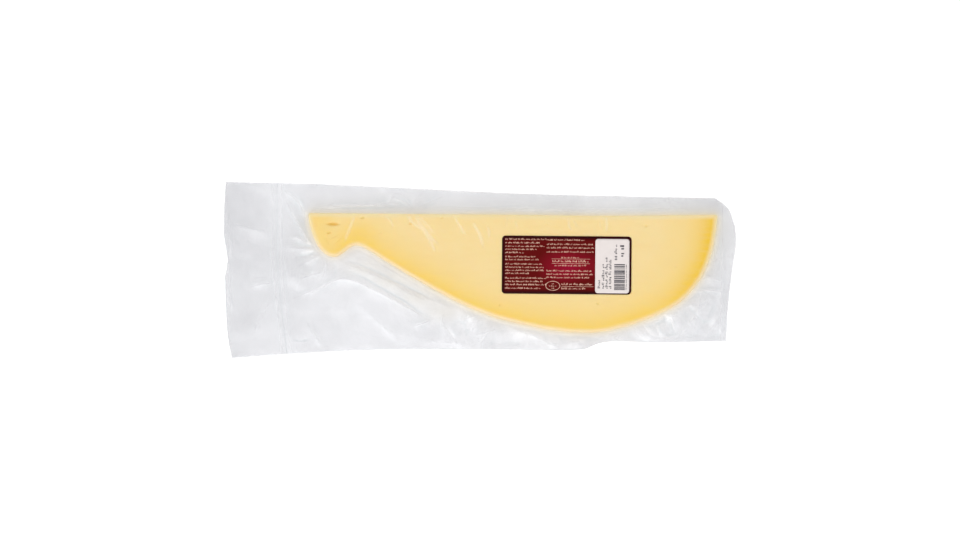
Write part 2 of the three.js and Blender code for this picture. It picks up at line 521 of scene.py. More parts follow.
@dataclass(frozen=True)
class ProvolaCurd:
    """Cut stretched-curd cheese, pressed smooth under film.

    The eye sees a soft pale yellow that light enters a little way, deeper and more golden
    towards the rind, faint stretched fibres and a slightly moist surface.
    """

    paste: str = "ead298"
    paste_shade: str = "e5c886"
    golden: str = "ebc85f"  # just inside the rind
    golden_deep: str = "e5bd38"  # the same at the wide end, which dried most
    rim: str = "e3d4a7"  # painted highlight of the film over the last few millimetres of curd
    rim_painted_shade: str = "e2cda4"  # that highlight painted darker where the rim slopes towards the near-side lamp
    hollow: str = "dcb046"  # in the shade of an eye
    ior: float = 1.45  # fat and water in casein
    own_gloss: float = 0.08  # little, because the film wets it
    roughness: float = 0.42
    scatter_depth: float = 2.5  # mm that light travels in the curd
    fibre_width: float = 3.5  # mm, several real fibres together, so that they show
    rind_reach: float = 34.0  # mm over which the rind's colour fades
    rim_highlight_width: float = 5.2  # mm, width of the painted highlight
    # Share of the reach, and how far the gold has turned to paste there.
    golden_fade: tuple[tuple[float, float], ...] = (
        (0.12, 0.0), (0.235, 0.22), (0.35, 0.45), (0.6, 0.74), (1.0, 1.0),
    )

    def by_depth(self, tree: bpy.types.NodeTree, clouds: bpy.types.Node) -> bpy.types.Node:
        """Colour the curd by its depth under the rind.

        Args:
            tree: the material's node tree.
            clouds: noise that lets the gold's border wander.

        Returns:
            The colour, from gold beside the rind to pale paste.
        """
        depth = add_node(tree, "Attribute", {"attribute_name": "rind_depth"}).outputs["Fac"]
        wander = add_node(tree, "Math", {"operation": "MULTIPLY_ADD"}, in_0=clouds, in_1=6.0,
                          in_2=-3.0)
        depth = add_node(tree, "Math", {"operation": "ADD"}, in_0=depth, in_1=wander)
        share = add_node(tree, "Math", {"operation": "DIVIDE", "use_clamp": True}, in_0=depth,
                         in_1=self.rind_reach)
        deep = add_node(tree, "Attribute", {"attribute_name": "rind_deep"}).outputs["Fac"]
        golden = add_node(tree, "Mix", {"data_type": "RGBA"}, in_0=deep,
                          in_6=linear(self.golden), in_7=linear(self.golden_deep))
        fade = add_node(tree, "ValToRGB", Fac=share)
        set_ramp(fade, [(at, (level, level, level, 1)) for at, level in self.golden_fade])
        return add_node(tree, "Mix", {"data_type": "RGBA"}, in_0=fade, in_6=golden,
                        in_7=linear(self.paste))

    def with_rim(self, tree: bpy.types.NodeTree, inner: bpy.types.Node) -> bpy.types.Node:
        """Add the pale rim, a painted highlight, and the shade inside the eyes.

        Args:
            tree: the material's node tree.
            inner: the curd's colour.

        Returns:
            The colour with both.
        """
        # The pale rim is a painted highlight, painted darker where it faces the near-side lamp.
        edge = add_node(tree, "Attribute", {"attribute_name": "edge_distance"}).outputs["Fac"]
        rim = add_node(tree, "MapRange", {"interpolation_type": "SMOOTHSTEP"}, in_0=edge,
                       in_1=0.6, in_2=self.rim_highlight_width, in_3=1.0, in_4=0.0)
        slope = add_node(tree, "Attribute", {"attribute_name": "rind_slope"}).outputs["Fac"]
        pale = add_node(tree, "Mix", {"data_type": "RGBA"}, in_0=slope,
                        in_6=linear(self.rim), in_7=linear(self.rim_painted_shade))
        rimmed = add_node(tree, "Mix", {"data_type": "RGBA"}, in_0=rim, in_6=inner, in_7=pale)
        eye = add_node(tree, "Attribute", {"attribute_name": "eye"}).outputs["Fac"]
        return add_node(tree, "Mix", {"data_type": "RGBA"}, in_0=eye, in_6=rimmed,
                        in_7=linear(self.hollow))

    def material(self) -> bpy.types.Material:
        """Build the curd's material.

        It reads the rind_depth and edge_distance attributes in millimetres, and the
        rind_slope, rind_deep and eye attributes from 0 to 1.

        Returns:
            The material.
        """
        material, tree = new_material("stretched_curd")
        place = add_node(tree, "TexCoord").outputs["Object"]
        across = 1 / (self.fibre_width * MM)
        fibres = add_node(tree, "Mapping", in_0=place, in_3=(0.22 * across, across, 200.0))
        streaks = add_node(tree, "TexNoise", in_0=fibres, Scale=1.0, Detail=3.0,
                           Roughness=0.55, Distortion=0.6)
        clouds = add_node(tree, "TexNoise", in_0=place, Scale=26.0, Detail=2.0, Roughness=0.5)
        soft = add_node(tree, "MapRange", in_0=streaks, in_1=0.35, in_2=0.75, in_3=0.0,
                        in_4=0.35)
        mottled = add_node(tree, "Mix", {"data_type": "RGBA"}, in_0=soft,
                           in_6=self.with_rim(tree, self.by_depth(tree, clouds)),
                           in_7=linear(self.paste_shade))
        grain = add_node(tree, "TexNoise", in_0=place, Scale=900.0, Detail=2.0)
        relief = add_node(tree, "Bump", Strength=0.25, Distance=0.15 * MM, Height=grain)
        damp = add_node(tree, "MapRange", in_0=clouds, in_1=0.3, in_2=0.7,
                        in_3=self.roughness - 0.06, in_4=self.roughness + 0.08)
        surface = add_node(
            tree, "BsdfPrincipled", Base_Color=mottled, Roughness=damp, IOR=self.ior,
            Specular_IOR_Level=self.own_gloss, Normal=relief, Subsurface_Weight=0.35,
            Subsurface_Radius=(1.0, 0.62, 0.3), Subsurface_Scale=self.scatter_depth * MM,
        )
        to_output(tree, surface)
        return material


@dataclass(frozen=True)
class ClearFilm:
    """Clear laminated vacuum film, cast and glossy.

    The eye sees mostly what is behind it, with a little milky haze and bright lines where a
    crease catches the light. Crests get more haze as a painted highlight, partly the whitening
    of folded film, and valleys a painted shade.
    """

    name: str = "vacuum_film"
    tint: str = "f6f6f7"  # what one face lets through where the film is free
    tint_touching: str = "fefefe"  # where it is wet by the cheese
    tint_uneven: str = "f0f0f1"  # in listed patches, and where noise drifts over the film
    tint_painted_bounce: str = "faf4e4"  # painted warm light bounced from the cheese, beside the rind and under the neck's pleats
    tint_valley_shade: str = "f1f2f3"  # painted shade in the valleys of folds
    haze: str = "eff0f1"
    crest_painted_highlight: float = 0.065  # more haze along a crest: a painted highlight, partly the whitening of folded film
    crest_painted_highlight_touching: float = 0.085  # and where the crest stands over the cheese
    valley_touching: float = 0.25  # share of a valley's shade that is left over the cheese
    uneven_share: float = 0.5  # of the darker tint that drifts over the whole film
    haze_share: float = 0.05  # of one face where the film is free
    haze_touching: float = 0.008  # and where it is wet by the cheese
    roughness: float = 0.26
    ior: float = 1.5  # polyamide and polyethylene
    mirror_free: float = 0.55  # some of the faces cling to each other and don't reflect
    mirror_touching: float = 0.15  # fewer still do where the film is wet
    most_mirror: float = 0.05  # at a slant, where rough gloss never gets to a full mirror
    most_mirror_wall: float = 0.02  # where the film is stretched dull over the slab's wall
    crinkle_width: float = 5.0  # mm between the finest creases
    crinkle_height: float = 0.12  # mm

    def by_contact(
        self, tree: bpy.types.NodeTree, free: float, touching: float
    ) -> bpy.types.Node:
        """Give a value that changes where the film touches the cheese.

        Args:
            tree: the material's node tree.
            free: the value where the film is free.
            touching: and where it is wet by the cheese.

        Returns:
            The value.
        """
        contact = add_node(tree, "Attribute", {"attribute_name": "contact"}).outputs["Fac"]
        return add_node(tree, "MapRange", in_0=contact, in_1=0.0, in_2=1.0, in_3=free,
                        in_4=touching)

    def relief(self, tree: bpy.types.NodeTree) -> bpy.types.Node:
        """Crinkle the film finely, but hardly where it touches the cheese.

        Args:
            tree: the material's node tree.

        Returns:
            The bent normal.
        """
        place = add_node(tree, "TexCoord").outputs["Object"]
        warped = add_node(tree, "TexNoise", in_0=place, Scale=60.0, Detail=2.0)
        spread = add_node(tree, "VectorMath", {"operation": "MULTIPLY_ADD"},
                          in_0=warped.outputs["Color"], in_1=(0.006,) * 3, in_2=place)
        cells = add_node(tree, "TexVoronoi", {"feature": "DISTANCE_TO_EDGE"}, in_0=spread,
                         Scale=1 / (self.crinkle_width * MM))
        ridge = add_node(tree, "MapRange", in_0=cells, in_1=0.0, in_2=0.35, in_3=1.0, in_4=0.0)
        crinkle = add_node(tree, "Math", {"operation": "MULTIPLY"}, in_0=ridge,
                           in_1=self.by_contact(tree, 1.0, 0.1))
        return add_node(tree, "Bump", Strength=0.35, Distance=self.crinkle_height * MM,
                        Height=crinkle)

    def mirror_share(self, tree: bpy.types.NodeTree, relief: bpy.types.Node) -> bpy.types.Node:
        """Work out how much of the light one face mirrors.

        Args:
            tree: the material's node tree.
            relief: the bent normal.

        Returns:
            The share, which stops rising at a slant.
        """
        fresnel = add_node(tree, "Fresnel", IOR=self.ior, Normal=relief)
        share = add_node(tree, "Math", {"operation": "MULTIPLY"}, in_0=fresnel,
                         in_1=self.by_contact(tree, self.mirror_free, self.mirror_touching))
        wall = add_node(tree, "Attribute", {"attribute_name": "wall"}).outputs["Fac"]
        most = add_node(tree, "MapRange", in_0=wall, in_1=0.0, in_2=1.0,
                        in_3=self.most_mirror, in_4=self.most_mirror_wall)
        return add_node(tree, "Math", {"operation": "MINIMUM"}, in_0=share, in_1=most)

    def milky_share(self, tree: bpy.types.NodeTree) -> bpy.types.Node:
        """Work out how much of the light one face scatters, more along a crest as a painted
        highlight.

        Args:
            tree: the material's node tree.

        Returns:
            The share.
        """
        crest = add_node(tree, "Attribute", {"attribute_name": "crest"}).outputs["Fac"]
        painted_crest_light = add_node(tree, "MapRange", in_0=crest, in_1=0.1, in_2=1.0, in_3=0.0,
                            in_4=self.by_contact(tree, self.crest_painted_highlight,
                                                 self.crest_painted_highlight_touching))
        return add_node(tree, "Math", {"operation": "ADD"}, in_1=painted_crest_light,
                        in_0=self.by_contact(tree, self.haze_share, self.haze_touching))

    def let_through(self, tree: bpy.types.NodeTree) -> bpy.types.Node:
        """Tint the light that passes through one face.

        Args:
            tree: the material's node tree.

        Returns:
            The tint: darker in listed patches and where noise drifts, darker in fold valleys as
                painted shade, and warm beside the rind as painted light bounced from the cheese.
        """
        place = add_node(tree, "TexCoord").outputs["Object"]
        uneven = add_node(tree, "TexNoise", in_0=place, Scale=14.0, Detail=3.0)
        drift = add_node(tree, "MapRange", in_0=uneven, in_1=0.4, in_2=0.65, in_3=0.0,
                         in_4=self.uneven_share)
        thick = add_node(tree, "Attribute", {"attribute_name": "thick"}).outputs["Fac"]
        darker_share = add_node(tree, "Math", {"operation": "ADD", "use_clamp": True}, in_0=drift,
                           in_1=thick)
        crest = add_node(tree, "Attribute", {"attribute_name": "crest"}).outputs["Fac"]
        # Fold valleys are painted darker, as shade.
        valley = add_node(tree, "MapRange", in_0=crest, in_1=-1.0, in_2=-0.1,
                          in_3=self.by_contact(tree, 1.0, self.valley_touching), in_4=0.0)
        # Warm light bounced from the cheese is painted beside the rind.
        bounce_glow = add_node(tree, "Attribute", {"attribute_name": "painted_bounce"}).outputs["Fac"]
        tint: object = linear(self.tint)
        for share, colour in (
            (darker_share, self.tint_uneven), (self.by_contact(tree, 0.0, 1.0), self.tint_touching),
            (bounce_glow, self.tint_painted_bounce), (valley, self.tint_valley_shade),
        ):
            tint = add_node(tree, "Mix", {"data_type": "RGBA"}, in_0=share, in_6=tint,
                            in_7=linear(colour))
        return tint

    def material(self) -> bpy.types.Material:
        """Build the film's material, which reads five attributes of the film.

        They are contact with the cheese, wall where it is stretched over the slab's wall,
        crest from -1 in a valley to 1, which sets painted highlights on crests and painted
        shade in valleys, painted_bounce for painted warm light bounced from the cheese beside
        the rind, and thick for listed patches of darker tint.

        Returns:
            The material.
        """
        material, tree = new_material(self.name)
        relief = self.relief(tree)
        through = add_node(tree, "BsdfTransparent", Color=self.let_through(tree))
        haze = add_node(tree, "BsdfPrincipled", Base_Color=linear(self.haze), Roughness=0.6,
                        IOR=self.ior, Normal=relief)
        body = add_node(tree, "MixShader", in_0=self.milky_share(tree), in_1=through, in_2=haze)
        gloss = add_node(tree, "BsdfAnisotropic", Color=(1, 1, 1, 1), Roughness=self.roughness,
                         Normal=relief)
        mixed = add_node(tree, "MixShader", in_0=self.mirror_share(tree, relief), in_1=body,
                         in_2=gloss)
        to_output(tree, mixed)
        return material


@dataclass(frozen=True)
class PrintedLabelPaper:
    """Coated paper, offset printed in deep maroon and lacquered.

    The eye sees a dark ground with a crimson glow in its middle, a nearly black border and
    a light satin gloss.
    """

    centre: tuple[float, float]
    border: str = "2c0306"
    ground: str = "5a0909"
    middle: str = "7c0b1e"
    glow: str = "900b30"
    border_width: float = 1.5
    roughness: float = 0.32
    gloss: float = 0.1  # the thin lacquer soaks in and leaves less shine than a full coat

    def material(self) -> bpy.types.Material:
        """Build the label's material, with its glow in the label's own middle.

        Returns:
            The material.
        """
        material, tree = new_material("maroon_label_paper")
        place = add_node(tree, "TexCoord").outputs["Object"]
        middle = (self.centre[0] * MM, self.centre[1] * MM, 0)
        local = add_node(tree, "VectorMath", {"operation": "SUBTRACT"}, in_0=place, in_1=middle)
        clouds = add_node(tree, "TexNoise", in_0=place, Scale=35.0, Detail=1.0)
        glow_at = (2.0 * MM, -1.0 * MM, 0)
        spread = (1 / (44 * MM), 1 / (23 * MM), 0.0)
        away = add_node(tree, "VectorMath", {"operation": "SUBTRACT"}, in_0=local, in_1=glow_at)
        away = add_node(tree, "VectorMath", {"operation": "MULTIPLY"}, in_0=away, in_1=spread)
        radius = add_node(tree, "VectorMath", {"operation": "LENGTH"}, in_0=away)
        wander = add_node(tree, "Math", {"operation": "MULTIPLY_ADD"}, in_0=clouds, in_1=0.35,
                          in_2=radius)
        ground = add_node(tree, "ValToRGB", Fac=wander)
        set_ramp(ground, [(0.1, linear(self.glow)), (0.55, linear(self.middle)),
                          (0.95, linear(self.ground))])
        edge = add_node(tree, "Attribute", {"attribute_name": "edge_distance"}).outputs["Fac"]
        rim = add_node(tree, "MapRange", in_0=edge, in_1=self.border_width,
                       in_2=self.border_width + 3, in_3=1.0, in_4=0.0)
        coloured = add_node(tree, "Mix", {"data_type": "RGBA"}, in_0=rim, in_6=ground,
                            in_7=linear(self.border))
        fibre = add_node(tree, "TexNoise", in_0=place, Scale=1400.0, Detail=2.0)
        relief = add_node(tree, "Bump", Strength=0.12, Distance=0.03 * MM, Height=fibre)
        surface = add_node(tree, "BsdfPrincipled", Base_Color=coloured, IOR=1.45,
                           Roughness=self.roughness, Normal=relief,
                           Specular_IOR_Level=self.gloss)
        to_output(tree, surface)
        return material


@dataclass(frozen=True)
class ThermalPaper:
    """White top-coated thermal paper: matt, with a faint mottle and a warm cast."""

    colour: str = "e2dad7"
    shade: str = "d6cdca"
    roughness: float = 0.55

    def material(self) -> bpy.types.Material:
        """Build the sticker's paper.

        Returns:
            The material.
        """
        material, tree = new_material("thermal_paper")
        place = add_node(tree, "TexCoord").outputs["Object"]
        mottle = add_node(tree, "TexNoise", in_0=place, Scale=180.0, Detail=3.0)
        coloured = add_node(tree, "Mix", {"data_type": "RGBA"}, in_0=mottle,
                            in_6=linear(self.colour), in_7=linear(self.shade))
        fibre = add_node(tree, "TexNoise", in_0=place, Scale=2200.0, Detail=2.0)
        relief = add_node(tree, "Bump", Strength=0.15, Distance=0.03 * MM, Height=fibre)
        surface = add_node(tree, "BsdfPrincipled", Base_Color=coloured, IOR=1.48,
                           Roughness=self.roughness, Normal=relief)
        to_output(tree, surface)
        return material


@dataclass(frozen=True)
class PrintInk:
    """A dry print on paper: flat in tone, with slightly uneven cover."""

    name: str
    colour: str
    worn: str
    roughness: float = 0.5

    def material(self) -> bpy.types.Material:
        """Build the ink.

        Returns:
            The material.
        """
        material, tree = new_material(self.name)
        place = add_node(tree, "TexCoord").outputs["Object"]
        cover = add_node(tree, "TexNoise", in_0=place, Scale=420.0, Detail=2.0)
        share = add_node(tree, "MapRange", in_0=cover, in_1=0.35, in_2=0.7)
        coloured = add_node(tree, "Mix", {"data_type": "RGBA"}, in_0=share,
                            in_6=linear(self.colour), in_7=linear(self.worn))
        surface = add_node(tree, "BsdfPrincipled", Base_Color=coloured,
                           Roughness=self.roughness, IOR=1.5)
        to_output(tree, surface)
        return material


# --------------------------------------------------------------------- cheese


@dataclass(frozen=True)
class Eye:
    """A small hole or dent in the cut face: its place, half sizes, depth and turn."""

    x: float
    y: float
    half_length: float
    half_width: float
    depth: float
    turn: float = 0.0


@dataclass
class CheeseSlice:
    """The slab of provola, with its rounded rind, crisp knife cut and a few eyes."""

    plan: Plan
    finish: ProvolaCurd = field(default_factory=ProvolaCurd)
    point_step: float = 1.5
    cap_step: float = 1.7
    rind_round_width: float = 3.0  # how far the rind's rounding reaches into the cut face
    rind_round_height: float = 5.0
    cut_round: float = 0.5  # rounding along the knife cut
    rim_rows: int = 6
    wall_rows: int = 3
    golden_places: tuple[Patch, ...] = (Patch(-110, 33, 15, 13, 0.35), Patch(72, -46, 45, 20, 0.2))
    head_depth: float = 14.0  # mm, the depth that the whole head looks
    eyes: tuple[Eye, ...] = (
        Eye(-132.2, 41.2, 5.2, 1.3, 1.5, -2), Eye(-136.0, 33.4, 1.7, 1.0, 0.7, 10),
        Eye(-131.0, 29.5, 4.0, 0.6, 0.3, 25), Eye(-106.0, 46.8, 1.9, 0.9, 0.7, 12),
        Eye(-138.0, 27.5, 0.6, 5.0, 0.25, 20), Eye(-127.0, 26.5, 4.0, 0.6, 0.25, 40),
        Eye(-62.5, 41.4, 1.5, 0.9, 0.6, -15), Eye(-34.5, 47.0, 1.1, 0.8, 0.5, 0),
        Eye(18.0, -31.5, 1.2, 0.9, 0.5, 20), Eye(106.0, -30.0, 1.3, 1.1, 0.5, 0),
        Eye(149.5, 39.6, 1.6, 1.2, 0.4, 30), Eye(-90.0, 33.0, 1.0, 0.7, 0.3, 5),
        Eye(60.0, 41.0, 1.1, 0.6, 0.3, -8), Eye(176.0, 3.0, 1.0, 0.9, 0.3, 0),
    )

    def rim(self, loop: Points, upper: bool) -> list[tuple[Points, np.ndarray]]:
        """Work out the rings from the face's edge down, or up, to the wall.

        Args:
            loop: the slab's outline.
            upper: whether it is the upper face's rim.

        Returns:
            Plan points and heights of each ring, the face's edge first.
        """
        low, high = (c.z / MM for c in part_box("cheese"))
        out = outward(loop)
        curved = self.plan.rounding(loop)
        reach = 1.0 if upper else 0.7
        wide = self.cut_round + (self.rind_round_width * reach - self.cut_round) * curved
        tall = self.cut_round + (self.rind_round_height * reach - self.cut_round) * curved
        rings = []
        for k in range(self.rim_rows + 1):
            angle = k / self.rim_rows * math.pi / 2
            inset = wide * (1 - math.sin(angle))
            drop = tall * (1 - math.cos(angle))
            height = high - drop if upper else low + drop
            rings.append((loop - out * inset[:, None], height))
        return rings

    def eye_depth(self, xy: Points) -> np.ndarray:
        """Work out how deep the eyes are at points of the upper cut face.

        Args:
            xy: the points in plan.

        Returns:
            Each point's depth in millimetres.
        """
        depth = np.zeros(len(xy))
        for eye in self.eyes:
            turn = math.radians(eye.turn)
            dx, dy = xy[:, 0] - eye.x, xy[:, 1] - eye.y
            along = (dx * math.cos(turn) + dy * math.sin(turn)) / eye.half_length
            across = (dy * math.cos(turn) - dx * math.sin(turn)) / eye.half_width
            depth += eye.depth * np.exp(-((along ** 2 + across ** 2) ** 1.5))
        return depth

    def ripening_depth(self, depth: np.ndarray, xy: Points) -> np.ndarray:
        """Work out how deep under the rind each point looks.

        Args:
            depth: its real distance from the rind.
            xy: the points in plan.

        Returns:
            The depth in millimetres, less where the gold reaches further in, and even over
            the head, which ripened from all sides.
        """
        wide_end = smooth_step(60.0, 200.0, xy[:, 0])
        looks = depth * (1 - 0.22 * wide_end)
        looks = looks - 8.0 * wide_end * smooth_step(20.0, 40.0, looks)
        for patch in self.golden_places:
            looks = looks * (1 - patch.share(xy))
        head = 1 - smooth_step(-150.0, -122.0, xy[:, 0])
        return looks * (1 - head) + self.head_depth * head

    def face_points(self, edge: Points, with_eyes: bool) -> Points:
        """Spread free points over a cut face, closer together around its eyes.

        Args:
            edge: the face's edge.
            with_eyes: whether it is the upper face, which shows the eyes.

        Returns:
            The points in plan.
        """
        grid = hex_grid(edge.min(0), edge.max(0), self.cap_step)
        parts = [grid[signed_distance(grid, edge) < -0.7 * self.cap_step]]
        for eye in self.eyes if with_eyes else ():
            reach = np.array([eye.half_length, eye.half_length]) * 1.6
            centre = np.array([eye.x, eye.y])
            parts.append(hex_grid(centre - reach, centre + reach, 0.45))
        return np.vstack(parts)

    def dress(self, piece: bpy.types.Object, vertices: Points, middle: float) -> None:
        """Give the slab the numbers that its material reads.

        Args:
            piece: the slab.
            vertices: its points.
            middle: the height halfway up its wall.
        """
        xy = vertices[:, :2]
        rind = self.plan.rind_line()[::2]
        depth, place = distance_to_line(xy, rind, closed=False)
        along = np.gradient(rind, axis=0)
        facing = along[:, 0] / np.linalg.norm(along, axis=1)  # 1 where the rind faces -Y
        facing = np.interp(place, np.linspace(0, 1, len(rind)), facing)
        near_edge, _ = distance_to_line(xy, self.plan.slab[::2], closed=True)
        nearer_rind = smooth_step(-1.0, 1.0, near_edge - depth + 1.5)
        hollow = np.clip(self.eye_depth(xy) / 1.5, 0, 0.85) * (vertices[:, 2] > middle)
        # rind_slope marks where the painted rim highlight is painted darker, facing the near-side
        # lamp.
        for name, values in (
            ("rind_depth", self.ripening_depth(depth, xy)),
            ("rind_deep", smooth_step(150.0, 208.0, xy[:, 0])),
            ("rind_slope", smooth_step(0.15, 0.6, facing) * nearer_rind),
            ("edge_distance", near_edge),
            ("eye", hollow),
        ):
            add_attribute(piece, name, values)
        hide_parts("cheese")

    def build(self) -> bpy.types.Object:
        """Build the slab as one closed mesh and dress it.

        Returns:
            The slab.
        """
        loop = spaced_line(self.plan.slab, self.point_step, closed=True)
        count = len(loop)
        upper = self.rim(loop, upper=True)
        lower = self.rim(loop, upper=False)[::-1]
        wall = []
        for k in range(1, self.wall_rows + 1):
            share = k / (self.wall_rows + 1)
            wall.append((loop, upper[-1][1] * (1 - share) + lower[0][1] * share))
        rings = [*upper, *wall, *lower]
        points = [np.column_stack([xy, z]) for xy, z in rings]
        faces = [bridge_rings(k * count, (k + 1) * count, count) for k in range(len(rings) - 1)]
        for is_upper, first in ((True, 0), (False, (len(rings) - 1) * count)):
            edge, level = rings[0] if is_upper else rings[-1]
            plan, triangles = fill_region(edge, None, self.face_points(edge, is_upper))
            inner = plan[count:]
            offset = sum(len(p) for p in points)
            height = level[0] + 0.08 * layered_noise(inner, 28.0, 3.1, 2)
            if is_upper:
                height -= self.eye_depth(inner)
            points.append(np.column_stack([inner, height]))
            shifted = np.where(triangles < count, triangles + first, triangles - count + offset)
            faces.append(shifted if is_upper else shifted[:, ::-1])
        vertices = np.vstack(points)
        piece = make_piece("provola_slice", vertices, np.vstack(faces), self.finish.material())
        self.dress(piece, vertices, (upper[0][1][0] + lower[-1][1][0]) / 2)
        return piece


# ----------------------------------------------------------------------- film


@dataclass(frozen=True)
class Crease:
    """One fold of the film: its line in plan, half width, height and rounding of its crest."""

    line: tuple[tuple[float, float], ...]
    width: float
    height: float
    crest: float = 0.35

    def add_to(self, height: np.ndarray, xy: Points, seat: np.ndarray) -> None:
        """Add this crease to the heights of points in plan.

        Args:
            height: the heights, changed in place.
            xy: the points in plan.
            seat: how free each point is to rise, from 0 to 1.
        """
        walked = smooth_line(self.line)
        reach = 5 * self.width + self.crest
        near = ((xy > walked.min(0) - reach) & (xy < walked.max(0) + reach)).all(axis=1)
        far, place = distance_to_line(xy[near], walked, closed=False)
        flank = np.exp(-(np.sqrt(far ** 2 + self.crest ** 2) - self.crest) / self.width)
        ends = smooth_step(0.0, 0.3, place) * (1 - smooth_step(0.7, 1.0, place))
        height[near] += self.height * flank * (0.12 + 0.88 * ends) * seat[near]


def smooth_line(line: Sequence[tuple[float, float]]) -> Points:
    """Pass a smooth line through a few points.

    Args:
        line: the points, in plan.

    Returns:
        The line's own points.
    """
    given = np.array(line, float)
    if len(given) < 3:
        return spaced_line(given, 1.5, closed=False)
    padded = np.vstack([2 * given[0] - given[1], given, 2 * given[-1] - given[-2]])
    made = []
    for k in range(1, len(padded) - 2):
        a, b, c, d = padded[k - 1:k + 3]
        for t in np.linspace(0, 1, 6)[:-1]:
            made.append(0.5 * (2 * b + (c - a) * t + (2 * a - 5 * b + 4 * c - d) * t * t
                               + (3 * b - a - 3 * c + d) * t ** 3))
    made.append(given[-1])
    return np.array(made)


@dataclass
class FlangeRelief:
    """The shape of the free film round the slab: its sag, waves, pleats and facets."""

    plan: Plan
    seat_height: float = 4.6  # where the two films meet at the slab's wall
    rest_height: float = 2.2  # and further out
    fall: float = 14.0  # over which it sinks to that
    wave_height: float = 1.0
    ripple_height: float = 0.12
    pleat_height: float = 1.1
    floor_gap: float = 0.5  # that stays under the lowest film
    facet_seed: int = 4
    facet_waves: int = 8
    facet_slope: float = 0.18

    # Pleats that run along the flank where the film bridges the hollow of the neck.
    pleats: tuple[Crease, ...] = (
        Crease(((-128, 10), (-112, 6), (-96, 0), (-73, -11.5), (-50, -22), (-33, -28.5)),
               2.0, -0.85, 0.9),
        Crease(((-125, 2), (-104, -7.3), (-89.6, -15.6), (-69, -27), (-54, -38), (-40, -46.5)),
               1.8, -0.85, 0.9),
        Crease(((-122, 6), (-104, 0), (-84, -9), (-64, -20), (-44, -31)), 4.0, 0.7, 1.5),
        Crease(((-172, -27), (-143, -15.5), (-127, -8.5), (-113, -10), (-100, -15.6),
                (-72, -30), (-46, -44.5)), 2.0, 1.5, 0.7),
        Crease(((-60, -51), (-53, -48.5), (-45, -45.5)), 1.6, 1.6),
        Crease(((-17.5, -45.5), (-10, -43), (-2, -40)), 1.2, 1.8),
        Crease(((-22, -52), (-17, -56), (-10, -54)), 1.5, -1.4),
    )
    # Ridges and wedges round the head.
    head_folds: tuple[Crease, ...] = (
        Crease(((-176, 66), (-170, 53), (-161, 37), (-153, 24), (-145, 16)), 1.9, 1.6, 0.6),
        Crease(((-168, 70), (-163, 60), (-157, 48), (-154, 36)), 1.5, 1.3, 0.5),
        Crease(((-179, 74), (-167, 64), (-158, 54)), 1.8, 1.2),
        Crease(((-150, 23), (-159, 27), (-170, 31)), 1.6, 0.6, 0.7),
        Crease(((-149, 20.5), (-158, 22.5), (-169, 25)), 1.8, -0.9, 0.7),
        Crease(((-148, 18), (-160, 19), (-175, 21)), 2.0, 0.8, 0.7),
        Crease(((-148, 15.5), (-157, 14), (-167, 12)), 1.8, -0.8, 0.7),
        Crease(((-146, 13), (-156, 8), (-166, 1)), 2.3, 0.75, 0.8),
        Crease(((-144, 11), (-150, 4), (-154, -5)), 1.8, -0.6, 0.7),
        Crease(((-139, 9), (-139.5, 1), (-142, -9)), 2.0, 0.6, 0.7),
        Crease(((-133, 9), (-130, 2), (-131, -6)), 1.6, -0.6, 0.7),
        Crease(((-165, -9), (-150, -4), (-137, 0)), 1.8, 0.6, 0.7),
    )
    # The welded band near the mouth and the side weld at the round end, which run on past
    # the pouch's edges so that they keep their full height there.
    welds: tuple[Crease, ...] = (
        Crease(((-187, 170), (-187, 30), (-184, -20), (-167, -170)), 0.9, 0.45),
        Crease(((-182.5, 170), (-182.5, 30), (-180, -20), (-163, -170)), 0.8, -0.3),
        Crease(((-178.5, 170), (-178.5, 30), (-176, -20), (-159, -170)), 0.9, 0.4),
        Crease(((217, 150), (218.5, 30), (217.5, 0), (215, -150)), 0.7, 0.4),
    )
    # Soft folds of the open flap and of the wide lower panel.
    soft_folds: tuple[Crease, ...] = (
        Crease(((-230, 8), (-215, 9), (-202, 5)), 5.0, -2.0, 2.0),
        Crease(((-224, 42), (-205, 37), (-187, 32)), 4.5, 1.6, 1.5),
        Crease(((-207, -15), (-196, -13), (-186, -11)), 2.2, 1.4),
        Crease(((-188, -24), (-198, -45), (-205, -60)), 4.5, 1.3, 1.5),
        Crease(((-226, 74), (-226, 40), (-224, 10), (-225, -30), (-222, -76)), 3.0, 0.8, 1.4),
        Crease(((-170, -63), (-161, -64), (-153, -62)), 2.0, -1.2),
        Crease(((-158, -45), (-148, -60), (-140, -73)), 3.0, 1.0, 1.0),
        Crease(((-110, -32), (-90, -48), (-72, -66)), 4.5, 0.9, 1.5),
        Crease(((-155, 55.5), (-121, 58.2), (-99, 58.7), (-79, 60), (-66, 57.5)), 1.3, 0.9, 0.6),
        Crease(((-128, 55.7), (-104, 55.9), (-80, 56.4)), 1.0, -0.8, 0.5),
        Crease(((-78, 66), (-68, 61), (-59, 55)), 0.9, 1.4),
        Crease(((-34, 66), (-45, 61), (-56, 55.5)), 1.0, 1.0),
        Crease(((-66, 66), (-62, 60), (-60, 55)), 0.8, -1.0),
        Crease(((-50, 57.5), (20, 55.6), (100, 54.4), (200, 55.6)), 1.0, 0.7),
        Crease(((200, -5), (210, -7.5), (221, -11.5)), 1.2, 0.8),
        Crease(((190, -20), (204, -18.5), (223, -19.7)), 1.3, 0.9),
        Crease(((188, -30), (192, -37), (202, -46), (213, -45)), 1.8, -1.2),
        Crease(((172, -42), (174, -50), (176, -58)), 1.4, 1.0),
        Crease(((159, -48), (160, -53), (161, -60)), 1.3, 0.9),
    )
    patches: tuple[Patch, ...] = (
        Patch(60, -62, 70, 16, 0.6), Patch(-15, -52, 22, 12, 0.6), Patch(178, -46, 40, 25, 0.7),
        Patch(-158, 18, 20, 30, 0.16), Patch(208, 0, 14, 40, 0.25), Patch(-208, 5, 20, 55, 0.15),
        Patch(-140, -45, 40, 30, 0.08), Patch(-70, 60, 30, 8, 0.3),
    )

